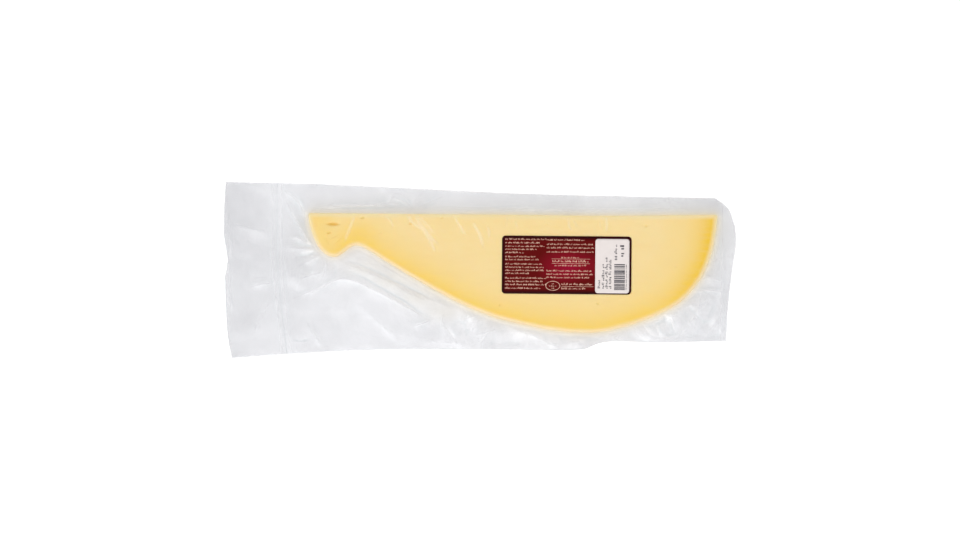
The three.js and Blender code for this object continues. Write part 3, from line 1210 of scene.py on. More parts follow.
    def facets(self, xy: Points) -> np.ndarray:
        """Crumple the film into flat facets with sharp folds between them.

        Args:
            xy: the points in plan.

        Returns:
            The rise of each point, in millimetres.
        """
        draw = np.random.default_rng(self.facet_seed)
        bend = 7.0 * layered_noise(xy, 60.0, 2.2, 2)
        total = np.zeros(len(xy))
        for k in range(self.facet_waves):
            angle = draw.uniform(0, math.pi)
            length = draw.uniform(16, 40)
            across = xy[:, 0] * math.cos(angle) + xy[:, 1] * math.sin(angle) + bend
            wave = (across / length + draw.uniform(0, 1)) % 1.0
            fold = np.sqrt((2 * np.abs(wave - 0.5)) ** 2 + 0.02)
            here = smooth_step(-0.1, 0.45, layered_noise(xy, 45.0, 30.0 + k, 1))
            total += here * (fold - 0.5) * length * self.facet_slope
        return total

    def radial_pleats(self, far: np.ndarray, along: np.ndarray, turn: float) -> np.ndarray:
        """Thin folds that run out from the slab's edge.

        Args:
            far: distance from the slab.
            along: place along the slab's outline, from 0 to 1.
            turn: the outline's length.

        Returns:
            Height of the folds, in millimetres.
        """
        radius = turn / (2 * math.pi)
        angle = along * 2 * math.pi
        wide, long = 9.0, 38.0
        value = np.array([
            noise.noise(Vector((radius * math.cos(a) / wide, radius * math.sin(a) / wide, f / long)))
            for a, f in zip(angle, far)
        ])
        crest = (1 - np.clip(np.abs(value) / 0.3, 0, 1)) ** 2
        return crest * np.exp(-far / 12.0) * smooth_step(0.5, 5.0, far)

    def heights(self, xy: Points) -> np.ndarray:
        """Work out how high over the table the two films meet.

        Args:
            xy: the points in plan.

        Returns:
            The height of each point, in millimetres.
        """
        slab = self.plan.slab[::3]
        far, along = distance_to_line(xy, slab, closed=True)
        turn = float(np.linalg.norm(np.roll(slab, -1, axis=0) - slab, axis=1).sum())
        height = self.rest_height + (self.seat_height - self.rest_height) * np.exp(-far / self.fall)
        free = smooth_step(1.0, 8.0, far)
        height += free * self.wave_height * layered_noise(xy, 70.0, 1.7, 2)
        height += free * self.ripple_height * layered_noise(xy, 16.0, 5.3, 3)
        crumple = 0.1 + sum(patch.share(xy) for patch in self.patches)
        inner, _ = distance_to_line(xy, self.plan.pouch, closed=True)
        free = free * smooth_step(-1.0, 7.0, inner)
        height += free * crumple * self.facets(xy)
        pleats = self.radial_pleats(far, along, turn)
        height += self.pleat_height * np.minimum(crumple, 1) * pleats
        seat = 0.25 + 0.75 * smooth_step(0.0, 3.0, far)
        for crease in (*self.pleats, *self.head_folds, *self.welds, *self.soft_folds):
            crease.add_to(height, xy, seat)
        above = height - self.floor_gap
        return self.floor_gap + np.where(above > 1, above, np.exp(np.minimum(above, 1) - 1))


@dataclass
class Flange:
    """The free film round the slab, in plan and height, shared by both films."""

    points: Points
    triangles: np.ndarray
    heights: np.ndarray
    edge_count: int
    foot_count: int

    @classmethod
    def between(cls, edge: Points, foot: Points, step: float, relief: FlangeRelief) -> "Flange":
        """Fill the band between the pouch's edge and the foot of the slab's wall.

        Args:
            edge: the pouch's outline.
            foot: the loop where the film leaves the slab's wall.
            step: the spacing of the points.
            relief: the shape of the free film.

        Returns:
            The band, with the edge's points first and the foot's next.
        """
        grid = hex_grid(edge.min(0), edge.max(0), step)
        clear = -0.6 * step
        grid = grid[signed_distance(grid, edge) < clear]
        free = grid[signed_distance(grid, foot) > -clear]
        points, triangles = fill_region(edge, foot, free)
        return cls(points, triangles, relief.heights(points), len(edge), len(foot))


class Side(Enum):
    """Which of the two films a shell is."""

    FRONT = 1
    BACK = -1


@dataclass
class FilmShell:
    """One film of the pouch: tight over the slab's face and wall, free in the flange."""

    plan: Plan
    side: Side
    finish: ClearFilm = field(default_factory=ClearFilm)
    thickness: float = 0.12
    gap: float = 0.12  # between the film and what it lies on
    point_step: float = 1.5
    cap_step: float = 2.2
    crease_step: float = 0.9
    wall_rows: int = 12
    crest_scale: float = 0.13  # mm between neighbouring points that counts as a full crest
    most_rise: float = 0.75  # mm that creases which cross may reach over the cheese
    highlight_rise: float = 0.5  # mm of rise over the cheese at which a crease's painted highlight is full
    bounce_share: float = 0.6  # how strongly painted warm light bounced from the cheese tints the film beside the rind
    bounce_reach: float = 2.2  # mm over which it fades
    foot: float = 4.6  # how far from the slab's wall the film meets its partner
    cut_foot: float = 3.4  # the same along the knife cut
    cut_round: float = 0.5  # how it rounds the rim along the knife cut
    rind_round_width: float = 3.0  # and along the rind, over the face
    rind_round_height: float = 4.4  # and down the wall
    back_round: tuple[float, float] = (0.7, 0.4)  # share of both on the back
    # Distances from the slab's outline, negative inside it, over which the film lets go of
    # the cheese, starts to be stretched over its wall and ends to be.
    lets_go: tuple[float, float] = (-0.8, 0.6)
    wall_starts: tuple[float, float] = (-3.6, -3.0)
    wall_ends: tuple[float, float] = (3.5, 5.5)
    face_creases: tuple[Crease, ...] = (  # over the cheese, most of them down from the cut
        Crease(((-112, 50.5), (-117, 38), (-122.5, 23.5)), 1.0, 0.6, 0.5),
        Crease(((-59, 51.5), (-56, 45), (-50, 36), (-43, 28), (-36.5, 23)), 1.0, 0.75, 0.5),
        Crease(((-51, 38), (-45, 27), (-39.5, 14)), 0.9, 0.6, 0.5),
        Crease(((-66, 51), (-62.5, 45), (-57, 40), (-50, 36)), 0.9, 0.55, 0.5),
        Crease(((-57, 50), (-49, 42), (-40, 32)), 0.8, 0.4, 0.5),
        Crease(((-24, 50), (-19, 41), (-12, 30)), 0.9, 0.5, 0.5),
        Crease(((-8, 45), (-2, 35), (1, 28), (3, 19)), 0.9, 0.6, 0.5),
        Crease(((6, 42), (8, 34), (8, 27)), 0.8, 0.35, 0.5),
        Crease(((24, 49), (24, 38)), 0.8, 0.3, 0.5),
        Crease(((79, 48), (80, 41), (82, 34)), 0.8, 0.4, 0.5),
        Crease(((84, 46), (87, 37)), 0.7, 0.3),
        Crease(((113, 49), (114, 41), (113, 33)), 0.8, 0.45, 0.5),
        Crease(((107, 45), (109, 36)), 0.7, 0.3),
        Crease(((-88, 50), (-81, 45), (-77, 37)), 0.8, 0.35, 0.5),
        Crease(((30, 46), (34, 37)), 0.7, 0.3),
    )
    bounce_places: tuple[Patch, ...] = (  # painted warm bounce light under the pleats beside the neck
        Patch(-104, 2, 18, 7, 0.1), Patch(-80, -10, 18, 8, 0.13), Patch(-56, -24, 18, 9, 0.13),
        Patch(-34, -38, 16, 8, 0.1), Patch(-152, 34, 5, 16, 0.12),
    )
    darker_tint_places: tuple[Patch, ...] = (  # listed patches where the film's tint is darker
        Patch(-216, 40, 34, 48, 0.95), Patch(-214, -52, 30, 34, 0.5), Patch(216, 14, 16, 60, 0.45),
        Patch(200, 62, 40, 12, 0.3), Patch(90, 66, 90, 10, 0.2), Patch(-92, -2, 42, 15, 0.55),
        Patch(-54, -24, 30, 18, 0.6), Patch(-150, 10, 24, 22, 0.4), Patch(-160, 50, 14, 22, 0.4),
    )

    @property
    def name(self) -> str:
        """The piece's name."""
        return "front_film_drape" if self.side is Side.FRONT else "back_film_drape"

    def slab_loop(self) -> Points:
        """The slab's outline at the spacing of the film's rings."""
        return spaced_line(self.plan.slab, self.point_step, closed=True)

    def foot_loop(self) -> Points:
        """Work out where the film reaches its partner.

        Returns:
            The loop, point for point round the slab's own.
        """
        loop = self.slab_loop()
        cut = self.plan.cut_share(loop)[:, None]
        return loop + outward(loop) * (self.cut_foot * cut + self.foot * (1 - cut))

    def face_level(self) -> float:
        """Work out how high the film's middle lies where it covers the slab's face.

        Returns:
            The height in millimetres.
        """
        low, high = (c.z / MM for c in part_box("cheese"))
        off = self.gap + self.thickness / 2
        return high + off if self.side is Side.FRONT else low - off

    def face_points(self, edge: Points) -> Points:
        """Spread free points over the slab's face, closer together along creases.

        Args:
            edge: the face's edge.

        Returns:
            The points in plan.
        """
        coarse = hex_grid(edge.min(0), edge.max(0), self.cap_step)
        fine = hex_grid(edge.min(0), edge.max(0), self.crease_step)
        near = np.full(len(fine), np.inf)
        far = np.full(len(coarse), np.inf)
        for crease in self.face_creases if self.side is Side.FRONT else ():
            line = smooth_line(crease.line)
            near = np.minimum(near, distance_to_line(fine, line, closed=False)[0])
            far = np.minimum(far, distance_to_line(coarse, line, closed=False)[0])
        grid = np.vstack([fine[near < 3.5], coarse[far >= 3.5]])
        return grid[signed_distance(grid, edge) < -0.6 * self.crease_step]

    def wall_rings(self, loop: Points, foot_level: np.ndarray) -> list[tuple[Points, np.ndarray]]:
        """Rings from the edge of the flat face to the foot of the film's wall.

        Args:
            loop: the slab's outline.
            foot_level: height of the flange at the foot, for each point.

        Returns:
            Plan points and heights of each ring, innermost first.
        """
        cut = self.plan.cut_share(loop)[:, None]
        out = outward(loop)
        curved = self.plan.rounding(loop)[:, None]
        level = self.face_level()
        sign = self.side.value
        off = self.gap + self.thickness / 2
        wide_share, tall_share = (1.0, 1.0) if self.side is Side.FRONT else self.back_round
        wide = self.cut_round + (self.rind_round_width - self.cut_round) * curved
        wide = wide * wide_share
        tall = self.cut_round + (self.rind_round_height - self.cut_round) * curved
        tall = tall * tall_share
        foot = self.cut_foot * cut + self.foot * (1 - cut)
        rings = []
        arc_rows = self.wall_rows // 2
        for k in range(arc_rows + 1):
            angle = k / arc_rows * math.radians(80)
            place = -wide + (wide + off) * math.sin(angle)
            height = level - sign * (tall + off) * (1 - math.cos(angle))
            rings.append((loop + out * place, (height + np.zeros((len(loop), 1)))[:, 0]))
        start_place, start_height = place, height
        bend_place = np.maximum(start_place + 0.15, off + 0.25)
        end = foot_level[:, None]
        bend_height = end + sign * 0.5
        for k in range(1, self.wall_rows - arc_rows + 1):
            t = k / (self.wall_rows - arc_rows)
            weights = ((1 - t) ** 2, 2 * t * (1 - t), t * t)
            place = weights[0] * start_place + weights[1] * bend_place + weights[2] * foot
            height = weights[0] * start_height + weights[1] * bend_height + weights[2] * end
            rings.append((loop + out * place, height[:, 0]))
        return rings

    def face_sheet(self, edge: Points) -> tuple[Points, np.ndarray, np.ndarray]:
        """Lay the film over the slab's face.

        Args:
            edge: the face's edge.

        Returns:
            The face's free points, how far the creases raise each of them, and the
            triangles, in which the edge's points come first.
        """
        plan, triangles = fill_region(edge, None, self.face_points(edge))
        face = plan[len(edge):]
        raised = np.zeros(len(face))
        for crease in self.face_creases if self.side is Side.FRONT else ():
            crease.add_to(raised, face, np.ones(len(face)))
        raised = np.minimum(raised, self.most_rise)
        return np.column_stack([face, self.face_level() + raised]), raised, triangles

    def dress(
        self, piece: bpy.types.Object, middle: Points, crest: np.ndarray, on_face: slice,
        raised: np.ndarray,
    ) -> None:
        """Give the film the numbers that its material reads.

        Args:
            piece: the film.
            middle: the points halfway through its thickness.
            crest: how far each stands over its neighbours, from -1 to 1.
            on_face: which of them are free points over the slab's face.
            raised: how far creases raise those.
        """
        xy = middle[:, :2]
        far = signed_distance(xy, self.plan.slab[::3])
        wall = smooth_step(*self.wall_starts, far) * (1 - smooth_step(*self.wall_ends, far))
        crest = crest * (1 - wall)
        # Over the cheese, a crease's painted highlight grows with its rise.
        crest[on_face] = np.clip(raised / self.highlight_rise, 0, 1)
        # Warm light bounced from the cheese is painted beside the rind and under the neck's pleats.
        bounce_glow = self.bounce_share * np.exp(-np.maximum(far, 0) / self.bounce_reach)
        bounce_glow *= smooth_step(-1.0, 0.5, far) * (0.5 + 0.5 * smooth_step(-60.0, 10.0, xy[:, 0]))
        bounce_glow += sum(patch.share(xy) for patch in self.bounce_places)
        thick = sum(patch.share(xy) for patch in self.darker_tint_places)
        for name, values in (
            ("contact", 1 - smooth_step(*self.lets_go, far)), ("wall", wall),
            ("crest", crest), ("painted_bounce", bounce_glow), ("thick", np.minimum(thick, 1)),
        ):
            add_attribute(piece, name, np.tile(values, 2))

    def build(self, flange: Flange) -> bpy.types.Object:
        """Build the film as a thin closed sheet and dress it.

        Args:
            flange: the free film round the slab.

        Returns:
            The film.
        """
        loop = self.slab_loop()
        count = len(loop)
        apart = self.side.value * (self.gap + self.thickness) / 2
        loose = 0.3 * np.abs(layered_noise(flange.points, 12.0, 40.0 + self.side.value, 2))
        flange_heights = flange.heights + apart + self.side.value * loose
        foot = slice(flange.edge_count, flange.edge_count + flange.foot_count)
        rings = self.wall_rings(loop, flange_heights[foot])
        points = [np.column_stack([xy, z]) for xy, z in rings]
        faces = [bridge_rings(k * count, (k + 1) * count, count) for k in range(len(rings) - 1)]
        offset = len(rings) * count

        face, raised, triangles = self.face_sheet(rings[0][0])
        points.append(face)
        faces.append(np.where(triangles < count, triangles, triangles - count + offset))
        on_face = slice(offset, offset + len(face))

        kept = np.ones(len(flange.points), bool)
        kept[foot] = False
        where = np.empty(len(flange.points), int)
        where[foot] = offset - count + np.arange(count)
        where[kept] = on_face.stop + np.arange(int(kept.sum()))
        points.append(np.column_stack([flange.points[kept], flange_heights[kept]]))
        faces.append(where[flange.triangles])

        middle = np.vstack(points)
        triangles = np.vstack(faces)
        vertices, solid = thicken(middle, triangles, self.thickness)
        piece = make_piece(self.name, vertices, solid, self.finish.material())
        crest = crest_share(middle, triangles, self.crest_scale)
        self.dress(piece, middle, crest, on_face, raised)
        return piece


def crest_share(middle: Points, triangles: np.ndarray, scale: float) -> np.ndarray:
    """Say how much each point of a sheet stands above or below its neighbours.

    Args:
        middle: the sheet's points.
        triangles: its faces.
        scale: the height difference, in millimetres, that counts as a full crest.

    Returns:
        From -1 in a valley to 1 on a crest.
    """
    total = np.zeros(len(middle))
    count = np.zeros(len(middle))
    for a, b in ((0, 1), (1, 2), (2, 0)):
        for here, there in ((triangles[:, a], triangles[:, b]), (triangles[:, b], triangles[:, a])):
            np.add.at(total, here, middle[there, 2])
            np.add.at(count, here, 1)
    return np.clip((middle[:, 2] - total / np.maximum(count, 1)) / scale, -1, 1)


def thicken(middle: Points, triangles: np.ndarray, thickness: float) -> tuple[Points, np.ndarray]:
    """Turn an open sheet into a thin closed one.

    Args:
        middle: the sheet's points.
        triangles: its faces, all facing the same way.
        thickness: the distance between the two skins.

    Returns:
        The closed sheet's points, upper skin first, and its faces.
    """
    a, b, c = (middle[triangles[:, k]] for k in range(3))
    facing = np.cross(b - a, c - a)
    normals = np.zeros_like(middle)
    for k in range(3):
        np.add.at(normals, triangles[:, k], facing)
    normals /= np.maximum(np.linalg.norm(normals, axis=1, keepdims=True), 1e-12)
    count = len(middle)
    points = np.vstack([middle + normals * thickness / 2, middle - normals * thickness / 2])
    edges = np.vstack([triangles[:, [0, 1]], triangles[:, [1, 2]], triangles[:, [2, 0]]])
    forward = edges[:, 0].astype(np.int64) * count + edges[:, 1]
    backward = edges[:, 1].astype(np.int64) * count + edges[:, 0]
    rim = edges[~np.isin(forward, backward)]
    one = np.stack([rim[:, 1], rim[:, 0], rim[:, 0] + count], axis=1)
    two = np.stack([rim[:, 1], rim[:, 0] + count, rim[:, 1] + count], axis=1)
    return points, np.vstack([triangles, triangles[:, ::-1] + count, one, two])


@dataclass
class VacuumPouch:
    """The two films, welded to each other all round the slab."""

    plan: Plan
    flat_size: tuple[float, float] = (160.0, 463.0)  # of each film before it was drawn in
    flange_step: float = 1.25

    def build(self) -> list[bpy.types.Object]:
        """Returns:
            The front film and the back film.
        """
        front = FilmShell(self.plan, Side.FRONT)
        back = FilmShell(self.plan, Side.BACK)
        edge = spaced_line(self.plan.pouch, self.flange_step, closed=True)
        relief = FlangeRelief(self.plan)
        flange = Flange.between(edge, front.foot_loop(), self.flange_step, relief)
        made = []
        for shell, node in ((front, "front_film"), (back, "back_film")):
            piece = shell.build(flange)
            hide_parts(node)
            # Clear film scatters light onward, so it leaves what is under it as bright.
            piece.visible_shadow = False
            piece.visible_diffuse = False
            made.append(piece)
        return made


# --------------------------------------------------------------------- labels


@dataclass(frozen=True)
class LabelPlace:
    """Where a label lies: its centre, size, corner radius, slant and the level below it."""

    centre: tuple[float, float]
    size: tuple[float, float]
    corner: float
    slant: float
    level: float

    def to_frame(self, local: Points) -> Points:
        """Move points from the label's own plan into the frame.

        Args:
            local: the points.

        Returns:
            The moved points.
        """
        c, s = math.cos(self.slant), math.sin(self.slant)
        turned = np.stack([local[:, 0] * c - local[:, 1] * s,
                           local[:, 0] * s + local[:, 1] * c], axis=1)
        return turned + np.array(self.centre)

    def outline(self) -> Points:
        """Draw the label's rounded rectangle in its own plan.

        Returns:
            Its points, counter-clockwise.
        """
        x, y = self.size[0] / 2 - self.corner, self.size[1] / 2 - self.corner
        made = []
        for k, (cx, cy) in enumerate(((x, -y), (x, y), (-x, y), (-x, -y))):
            for angle in np.linspace(k - 1, k, 9) * math.pi / 2:
                made.append((cx + math.cos(angle) * self.corner,
                             cy + math.sin(angle) * self.corner))
        return np.array(made)


def build_paper(
    name: str, place: LabelPlace, thickness: float, material: bpy.types.Material
) -> bpy.types.Object:
    """Build a paper label as a thin closed sheet that follows the film.

    Args:
        name: the piece's name.
        place: where it lies.
        thickness: of the paper.
        material: its finish.

    Returns:
        The new piece, with each point's distance from the paper's edge as an attribute.
    """
    edge = spaced_line(place.outline(), 0.8, closed=True)
    grid = hex_grid(edge.min(0), edge.max(0), 1.6)
    inside = grid[signed_distance(grid, edge) < -0.7]
    plan, triangles = fill_region(edge, None, inside)
    inset = -signed_distance(plan, edge)
    inset[:len(edge)] = 0
    ripple = 0.05 * layered_noise(plan, 18.0, 9.4, 2)
    level = place.level + thickness / 2 + 0.06 + ripple
    middle = np.column_stack([place.to_frame(plan), level])
    vertices, faces = thicken(middle, triangles, thickness)
    piece = make_piece(name, vertices, faces, material)
    add_attribute(piece, "edge_distance", np.tile(inset, 2))
    return piece


@dataclass
class PrintedMarks:
    """Collects small flat marks in a label's own plan and makes one piece of them."""

    place: LabelPlace
    level: float
    seed: int
    thickness: float = 0.03
    boxes: list[tuple[float, float, float, float]] = field(default_factory=list)
    rings: list[tuple[float, float, float, float, float]] = field(default_factory=list)
    draw: np.random.Generator = field(init=False)

    def __post_init__(self) -> None:
        """Start the seeded draw that varies the marks."""
        self.draw = np.random.default_rng(self.seed)

    def bar(self, x0: float, y0: float, x1: float, y1: float) -> None:
        """Add a plain rectangle."""
        self.boxes.append((x0, y0, x1, y1))

    def words(self, start: float, end: float, across: float, height: float, upright: bool) -> None:
        """Fill a line with word-like groups of small plain blocks.

        Args:
            start: where the line starts along its own direction.
            end: where it ends.
            across: its place across that direction.
            height: of the blocks.
            upright: whether the line runs up the label, and not along it.
        """
        here = start
        while here < end - height * 0.5:
            for _ in range(int(self.draw.integers(2, 8))):
                wide = height * self.draw.uniform(0.2, 0.44)
                if here + wide > end:
                    break
                tall = height * self.draw.choice([0.5, 0.7, 1.0])
                base = across - height / 2 + height * self.draw.choice([0.0, 0.0, 0.2])
                if upright:
                    self.bar(-base - tall, here, -base, here + wide)
                else:
                    self.bar(here, base, here + wide, base + tall)
                here += wide + height * 0.28
            here += height * 0.6

    def oval(self, x: float, y: float, half_x: float, half_y: float, line: float) -> None:
        """Add an oval ring."""
        self.rings.append((x, y, half_x, half_y, line))

    def solid_mark(self, loop: Points, hole: Points | None) -> tuple[Points, np.ndarray]:
        """Make one thin closed mark.

        Args:
            loop: its outline in the label's own plan, counter-clockwise.
            hole: the outline of its hole, with as many points, or None.

        Returns:
            Its points in the frame, and its triangles.
        """
        low, high = self.level, self.level + self.thickness
        layers = [(loop, low), (loop, high)]
        if hole is not None:
            layers += [(hole, high), (hole, low)]
        count = len(loop)
        points = [
            np.column_stack([self.place.to_frame(plan), np.full(count, level)])
            for plan, level in layers
        ]
        pairs = [(k + 1, k) for k in range(len(layers) - 1)]
        faces = []
        if hole is None:
            fan = np.array([(0, k, k + 1) for k in range(1, count - 1)])
            faces += [fan[:, ::-1], fan + count]
        else:
            pairs.append((0, len(layers) - 1))
        faces += [bridge_rings(a * count, b * count, count) for a, b in pairs]
        return np.vstack(points), np.vstack(faces)

    def build(self, name: str, ink: PrintInk) -> bpy.types.Object:
        """Make one piece of all marks.

        Args:
            name: the piece's name.
            ink: its finish.

        Returns:
            The new piece.
        """
        outlines: list[tuple[Points, Points | None]] = []
        for x0, y0, x1, y1 in self.boxes:
            outlines.append((np.array([(x0, y0), (x1, y0), (x1, y1), (x0, y1)]), None))
        turn = np.linspace(0, 2 * math.pi, 41)[:-1]
        way = np.stack([np.cos(turn), np.sin(turn)], axis=1)
        for x, y, half_x, half_y, line in self.rings:
            centre = np.array([x, y])
            inner = centre + way * [half_x - line, half_y - line]
            outlines.append((centre + way * [half_x, half_y], inner))
        points: list[Points] = []
        faces: list[np.ndarray] = []
        first = 0
        for loop, hole in outlines:
            made, triangles = self.solid_mark(loop, hole)
            points.append(made)
            faces.append(triangles + first)
            first += len(made)
        return make_piece(name, np.vstack(points), np.vstack(faces), ink.material(), smooth=False)


@dataclass
class ProductLabel:
    """The maroon information label, with plain marks where a label has words."""

    place: LabelPlace
    paper_thickness: float = 0.12
    letter: float = 1.35  # height of the blocks that stand in for letters
    print_gap: float = 0.13  # between the paper's own level and the print
    # Place across the label and length of each line of the two blocks.
    left_start: float = -55.2
    left_rows: tuple[tuple[float, float], ...] = (
        (23.0, 37.5), (19.8, 31.0), (16.8, 35.5), (13.9, 28.0), (10.9, 16.5), (7.3, 27.0),
        (4.7, 30.5), (0.8, 34.0), (-2.2, 34.5), (-5.0, 35.0), (-7.7, 22.0), (-11.9, 38.0),
        (-14.9, 34.0), (-17.8, 37.5), (-21.0, 32.0),
    )
    right_start: float = -18.0
    right_rows: tuple[tuple[float, float], ...] = (
        (22.6, 34.0), (18.7, 42.5), (15.5, 43.0), (11.9, 42.5), (-5.2, 40.5), (-8.2, 43.0),
        (-11.2, 38.5),
    )
    # Place across, half length and height of each centred line.
    centred_at: float = 3.7
    centred_rows: tuple[tuple[float, float, float], ...] = (
        (6.7, 8.5, 1.3), (3.4, 16.5, 1.7), (-0.4, 14.5, 1.3),
    )
    rules: tuple[float, ...] = (5.5, 1.4)  # the thin lines between them
    oval_at: tuple[float, float] = (-12.3, -18.7)
    oval_half: tuple[float, float] = (6.6, 4.3)
    oval_rows: tuple[tuple[float, float], ...] = ((-16.9, 1.0), (-18.9, 3.4), (-20.9, 1.2))
    footer: tuple[float, float] = (-4.6, 24.4)  # where the last lines start and end

    def build(self) -> list[bpy.types.Object]:
        """Build the paper and its print.

        Returns:
            Both pieces.
        """
        finish = PrintedLabelPaper(self.place.centre)
        paper = build_paper("label_paper", self.place, self.paper_thickness, finish.material())
        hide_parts("product_label")
        top = self.place.level + self.paper_thickness + self.print_gap
        marks = PrintedMarks(self.place, top, seed=21)
        for start, rows in (
            (self.left_start, self.left_rows), (self.right_start, self.right_rows),
        ):
            for across, length in rows:
                marks.words(start, start + length, across, self.letter, upright=False)
        for across, half, tall in self.centred_rows:
            marks.words(self.centred_at - half, self.centred_at + half, across, tall,
                        upright=False)
        for across in self.rules:
            marks.bar(-13.5, across - 0.12, 21.0, across + 0.12)
        marks.oval(*self.oval_at, *self.oval_half, 0.45)
        for across, half in self.oval_rows:
            marks.words(self.oval_at[0] - half, self.oval_at[0] + half, across, 1.1,
                        upright=False)
        start, end = self.footer
        marks.words(start, end, -17.2, 1.7, upright=False)
        marks.bar(start, -19.4, end, -19.15)
        marks.words(start, 17.5, -21.0, 1.7, upright=False)
        ink = PrintInk("cream_print", "eac2aa", "c28a78")
        return [paper, marks.build("label_print", ink)]


@dataclass
class PriceSticker:
    """The white price sticker, with plain marks and stripes that encode nothing."""

    place: LabelPlace
    paper_thickness: float = 0.1
    print_gap: float = 0.13  # between the paper's own level and the print
    # Place across, start, end and height of each line that runs up the sticker.
    rows: tuple[tuple[float, float, float, float], ...] = (
        (-12.0, -20.0, -11.0, 2.2), (-8.3, -20.2, 3.8, 2.3), (-5.1, -20.2, 8.4, 2.3),
        (-1.9, -20.2, 8.4, 2.3), (3.2, 5.6, 19.9, 2.1), (8.7, 8.6, 19.2, 3.6),
    )
    stripe: float = 0.25  # the thinnest stripe, and the step of all others
    stripes: tuple[float, float] = (-21.4, 2.4)  # where they start and end up the sticker
    stripes_across: tuple[float, float] = (1.8, 11.4)

    def build(self) -> list[bpy.types.Object]:
        """Build the paper and its print.

        Returns:
            Both pieces.
        """
        paper = build_paper("sticker_paper", self.place, self.paper_thickness,
                            ThermalPaper().material())
        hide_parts("price_sticker")
        top = self.place.level + self.paper_thickness + self.print_gap
        marks = PrintedMarks(self.place, top, seed=5)
        for across, start, end, tall in self.rows:
            marks.words(start, end, -across, tall, upright=True)
        draw = np.random.default_rng(11)
        near, far = self.stripes_across
        here, end = self.stripes
        while here < end - 0.2:
            wide = self.stripe * int(draw.integers(1, 5))
            marks.bar(near, here, far, min(here + wide, end))
            here += wide + self.stripe * int(draw.integers(1, 4))
        marks.words(*self.stripes, -12.6, 1.0, upright=True)
        ink = PrintInk("thermal_print", "3a383e", "625f65")
        return [paper, marks.build("sticker_print", ink)]


# --------------------------------------------------------------------- studio


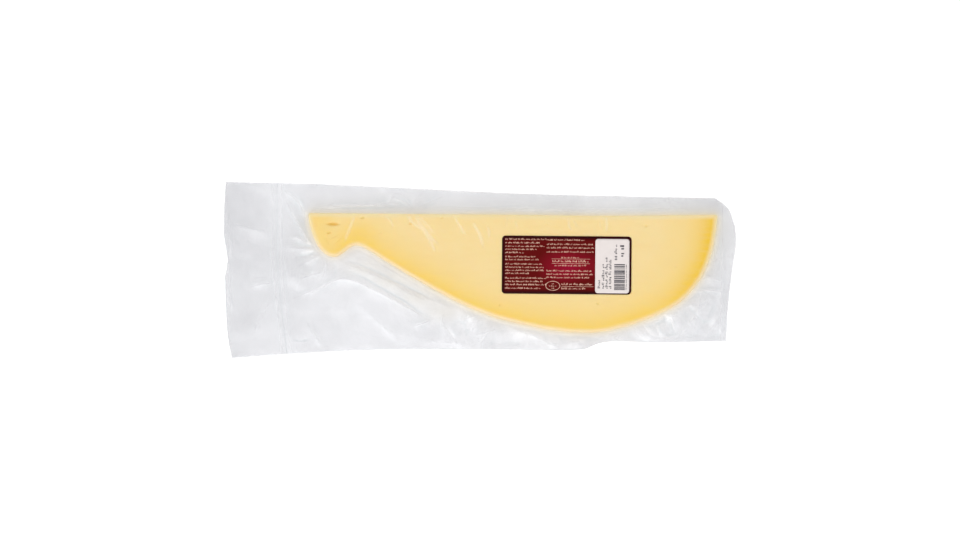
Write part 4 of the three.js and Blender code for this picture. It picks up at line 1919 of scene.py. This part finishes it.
@dataclass
class Studio:
    """A pale floor, soft light from several sides and a camera straight overhead."""

    seen_width: float = 864.0  # mm of floor across the view
    lens: float = 200.0  # long, so that the thick slab hardly spreads
    sensor: float = 36.0
    floor_size: float = 16.0  # m
    # Sine of the height above the horizon, and the share of the light from there.
    panel_light: tuple[tuple[float, float], ...] = (
        (0.0, 1.0), (0.03, 0.9), (0.07, 0.35), (0.35, 0.9), (0.6, 1.0), (0.8, 0.85),
        (0.95, 0.35), (1.0, 0.18),
    )
    near_share: float = 0.3  # how much brighter than the mean the near side is
    table_glow: float = 0.45  # the table is opal and lit from below

    def build(self) -> None:
        """Make the floor, the light and the camera."""
        self.floor()
        self.world()
        self.lights()
        self.camera()

    def floor(self) -> None:
        """Lay the pale floor."""
        mesh = bpy.data.meshes.new("floor")
        h = self.floor_size / 2
        mesh.from_pydata([(-h, -h, 0), (h, -h, 0), (h, h, 0), (-h, h, 0)], [], [(0, 1, 2, 3)])
        material, tree = new_material("opal_acrylic_table")
        place = add_node(tree, "TexCoord").outputs["Object"]
        mottle = add_node(tree, "TexNoise", in_0=place, Scale=6.0, Detail=2.0)
        coloured = add_node(tree, "Mix", {"data_type": "RGBA"}, in_0=mottle,
                            in_6=linear("d4d4d4"), in_7=linear("d7d7d7"))
        surface = add_node(tree, "BsdfPrincipled", Base_Color=coloured, Roughness=0.9,
                           Emission_Color=(1, 1, 1, 1), Emission_Strength=self.table_glow,
                           Specular_IOR_Level=0.0)
        to_output(tree, surface)
        mesh.materials.append(material)
        floor = bpy.data.objects.new("floor", mesh)
        bpy.context.scene.collection.objects.link(floor)

    def world(self) -> None:
        """Light the room from high pale panels, most from the near side, round a dark ceiling."""
        world = bpy.data.worlds.new("studio")
        world.use_nodes = True
        tree = world.node_tree
        way = add_node(tree, "TexCoord").outputs["Generated"]
        split = add_node(tree, "SeparateXYZ", in_0=way)
        level = add_node(tree, "ValToRGB", Fac=split.outputs["Z"])
        set_ramp(level, [(z, (share, share, share, 1)) for z, share in self.panel_light])
        near = add_node(tree, "Math", {"operation": "MULTIPLY_ADD"}, in_0=split.outputs["Y"],
                        in_1=-self.near_share, in_2=1.0)
        # Below the horizon it is as pale as the table, so that the table's end hardly shows.
        pale_floor = add_node(tree, "MapRange", in_0=split.outputs["Z"], in_1=0.0, in_2=0.03,
                              in_3=1.1, in_4=0.0)
        near = add_node(tree, "Math", {"operation": "MAXIMUM"}, in_0=near, in_1=pale_floor)
        background = tree.nodes["Background"]
        tree.links.new(level.outputs["Color"], background.inputs["Color"])
        tree.links.new(near.outputs[0], background.inputs["Strength"])
        bpy.context.scene.world = world

    def lights(self) -> None:
        """Stand a large soft box on the near side, a small one high up and two beyond."""
        for name, place, size, power in (
            ("soft_box_near", (-1.2, -3.5, 2.6), 2.6, 55.0),
            ("soft_box_left", (-3.0, 2.2, 2.8), 2.4, 42.0),
            ("soft_box_right", (3.0, 2.0, 2.8), 2.4, 36.0),
            ("soft_box_high", (-0.5, -1.15, 3.2), 1.5, 11.0),
        ):
            lamp = bpy.data.lights.new(name, "AREA")
            lamp.shape = "SQUARE"
            lamp.size = size
            lamp.energy = power
            holder = bpy.data.objects.new(name, lamp)
            holder.location = place
            holder.rotation_euler = (-Vector(place)).to_track_quat("-Z", "Y").to_euler()
            bpy.context.scene.collection.objects.link(holder)

    def camera(self) -> None:
        """Look straight down on the middle of the package."""
        low, high = CAD_BOX
        camera = bpy.data.cameras.new("camera")
        camera.lens = self.lens
        camera.sensor_width = self.sensor
        camera.clip_end = 100
        holder = bpy.data.objects.new("camera", camera)
        away = self.seen_width * MM * self.lens / self.sensor
        holder.location = ((low.x + high.x) / 2, (low.y + high.y) / 2, high.z * 0.5 + away)
        bpy.context.scene.collection.objects.link(holder)
        bpy.context.scene.camera = holder
        bpy.context.scene.view_settings.view_transform = "Standard"
        bpy.context.scene.cycles.transparent_max_bounces = 32


# ----------------------------------------------------------------------- main


def label_places(level: float) -> tuple[LabelPlace, LabelPlace]:
    """Read where the two labels lie from their CAD boxes.

    Args:
        level: height of the front film's outer face.

    Returns:
        The places of the product label and of the price sticker.
    """
    slant = math.radians(-0.5)
    places = []
    # Corner radius, and how far the sticker lies over the film with the label between.
    for node, corner, lift in (("product_label", 3.2, 0.0), ("price_sticker", 2.5, 0.25)):
        low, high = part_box(node)
        centre = ((low.x + high.x) / 2 / MM, (low.y + high.y) / 2 / MM)
        box = ((high.x - low.x) / MM, (high.y - low.y) / MM)
        c, s = math.cos(slant), abs(math.sin(slant))
        length = (box[0] * c - box[1] * s) / (c * c - s * s)
        width = (box[1] * c - box[0] * s) / (c * c - s * s)
        places.append(LabelPlace(centre, (length, width), corner, slant, level + lift))
    return places[0], places[1]


def main() -> None:
    """Build every piece in order, then the studio, and log each piece's points and faces."""
    logging.basicConfig(level=logging.INFO, format="%(name)s: %(message)s")
    plan = Plan.from_frame()
    made: list[bpy.types.Object] = [CheeseSlice(plan).build()]
    made += VacuumPouch(plan).build()
    film_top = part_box("cheese")[1].z / MM + FilmShell.gap + FilmShell.thickness
    label, sticker = label_places(film_top)
    made += ProductLabel(label).build()
    made += PriceSticker(sticker).build()
    for piece in made:
        log.info("%s: %d points, %d faces", piece.name, len(piece.data.vertices),
                 len(piece.data.polygons))
    Studio().build()


if __name__ == "__main__":
    main()
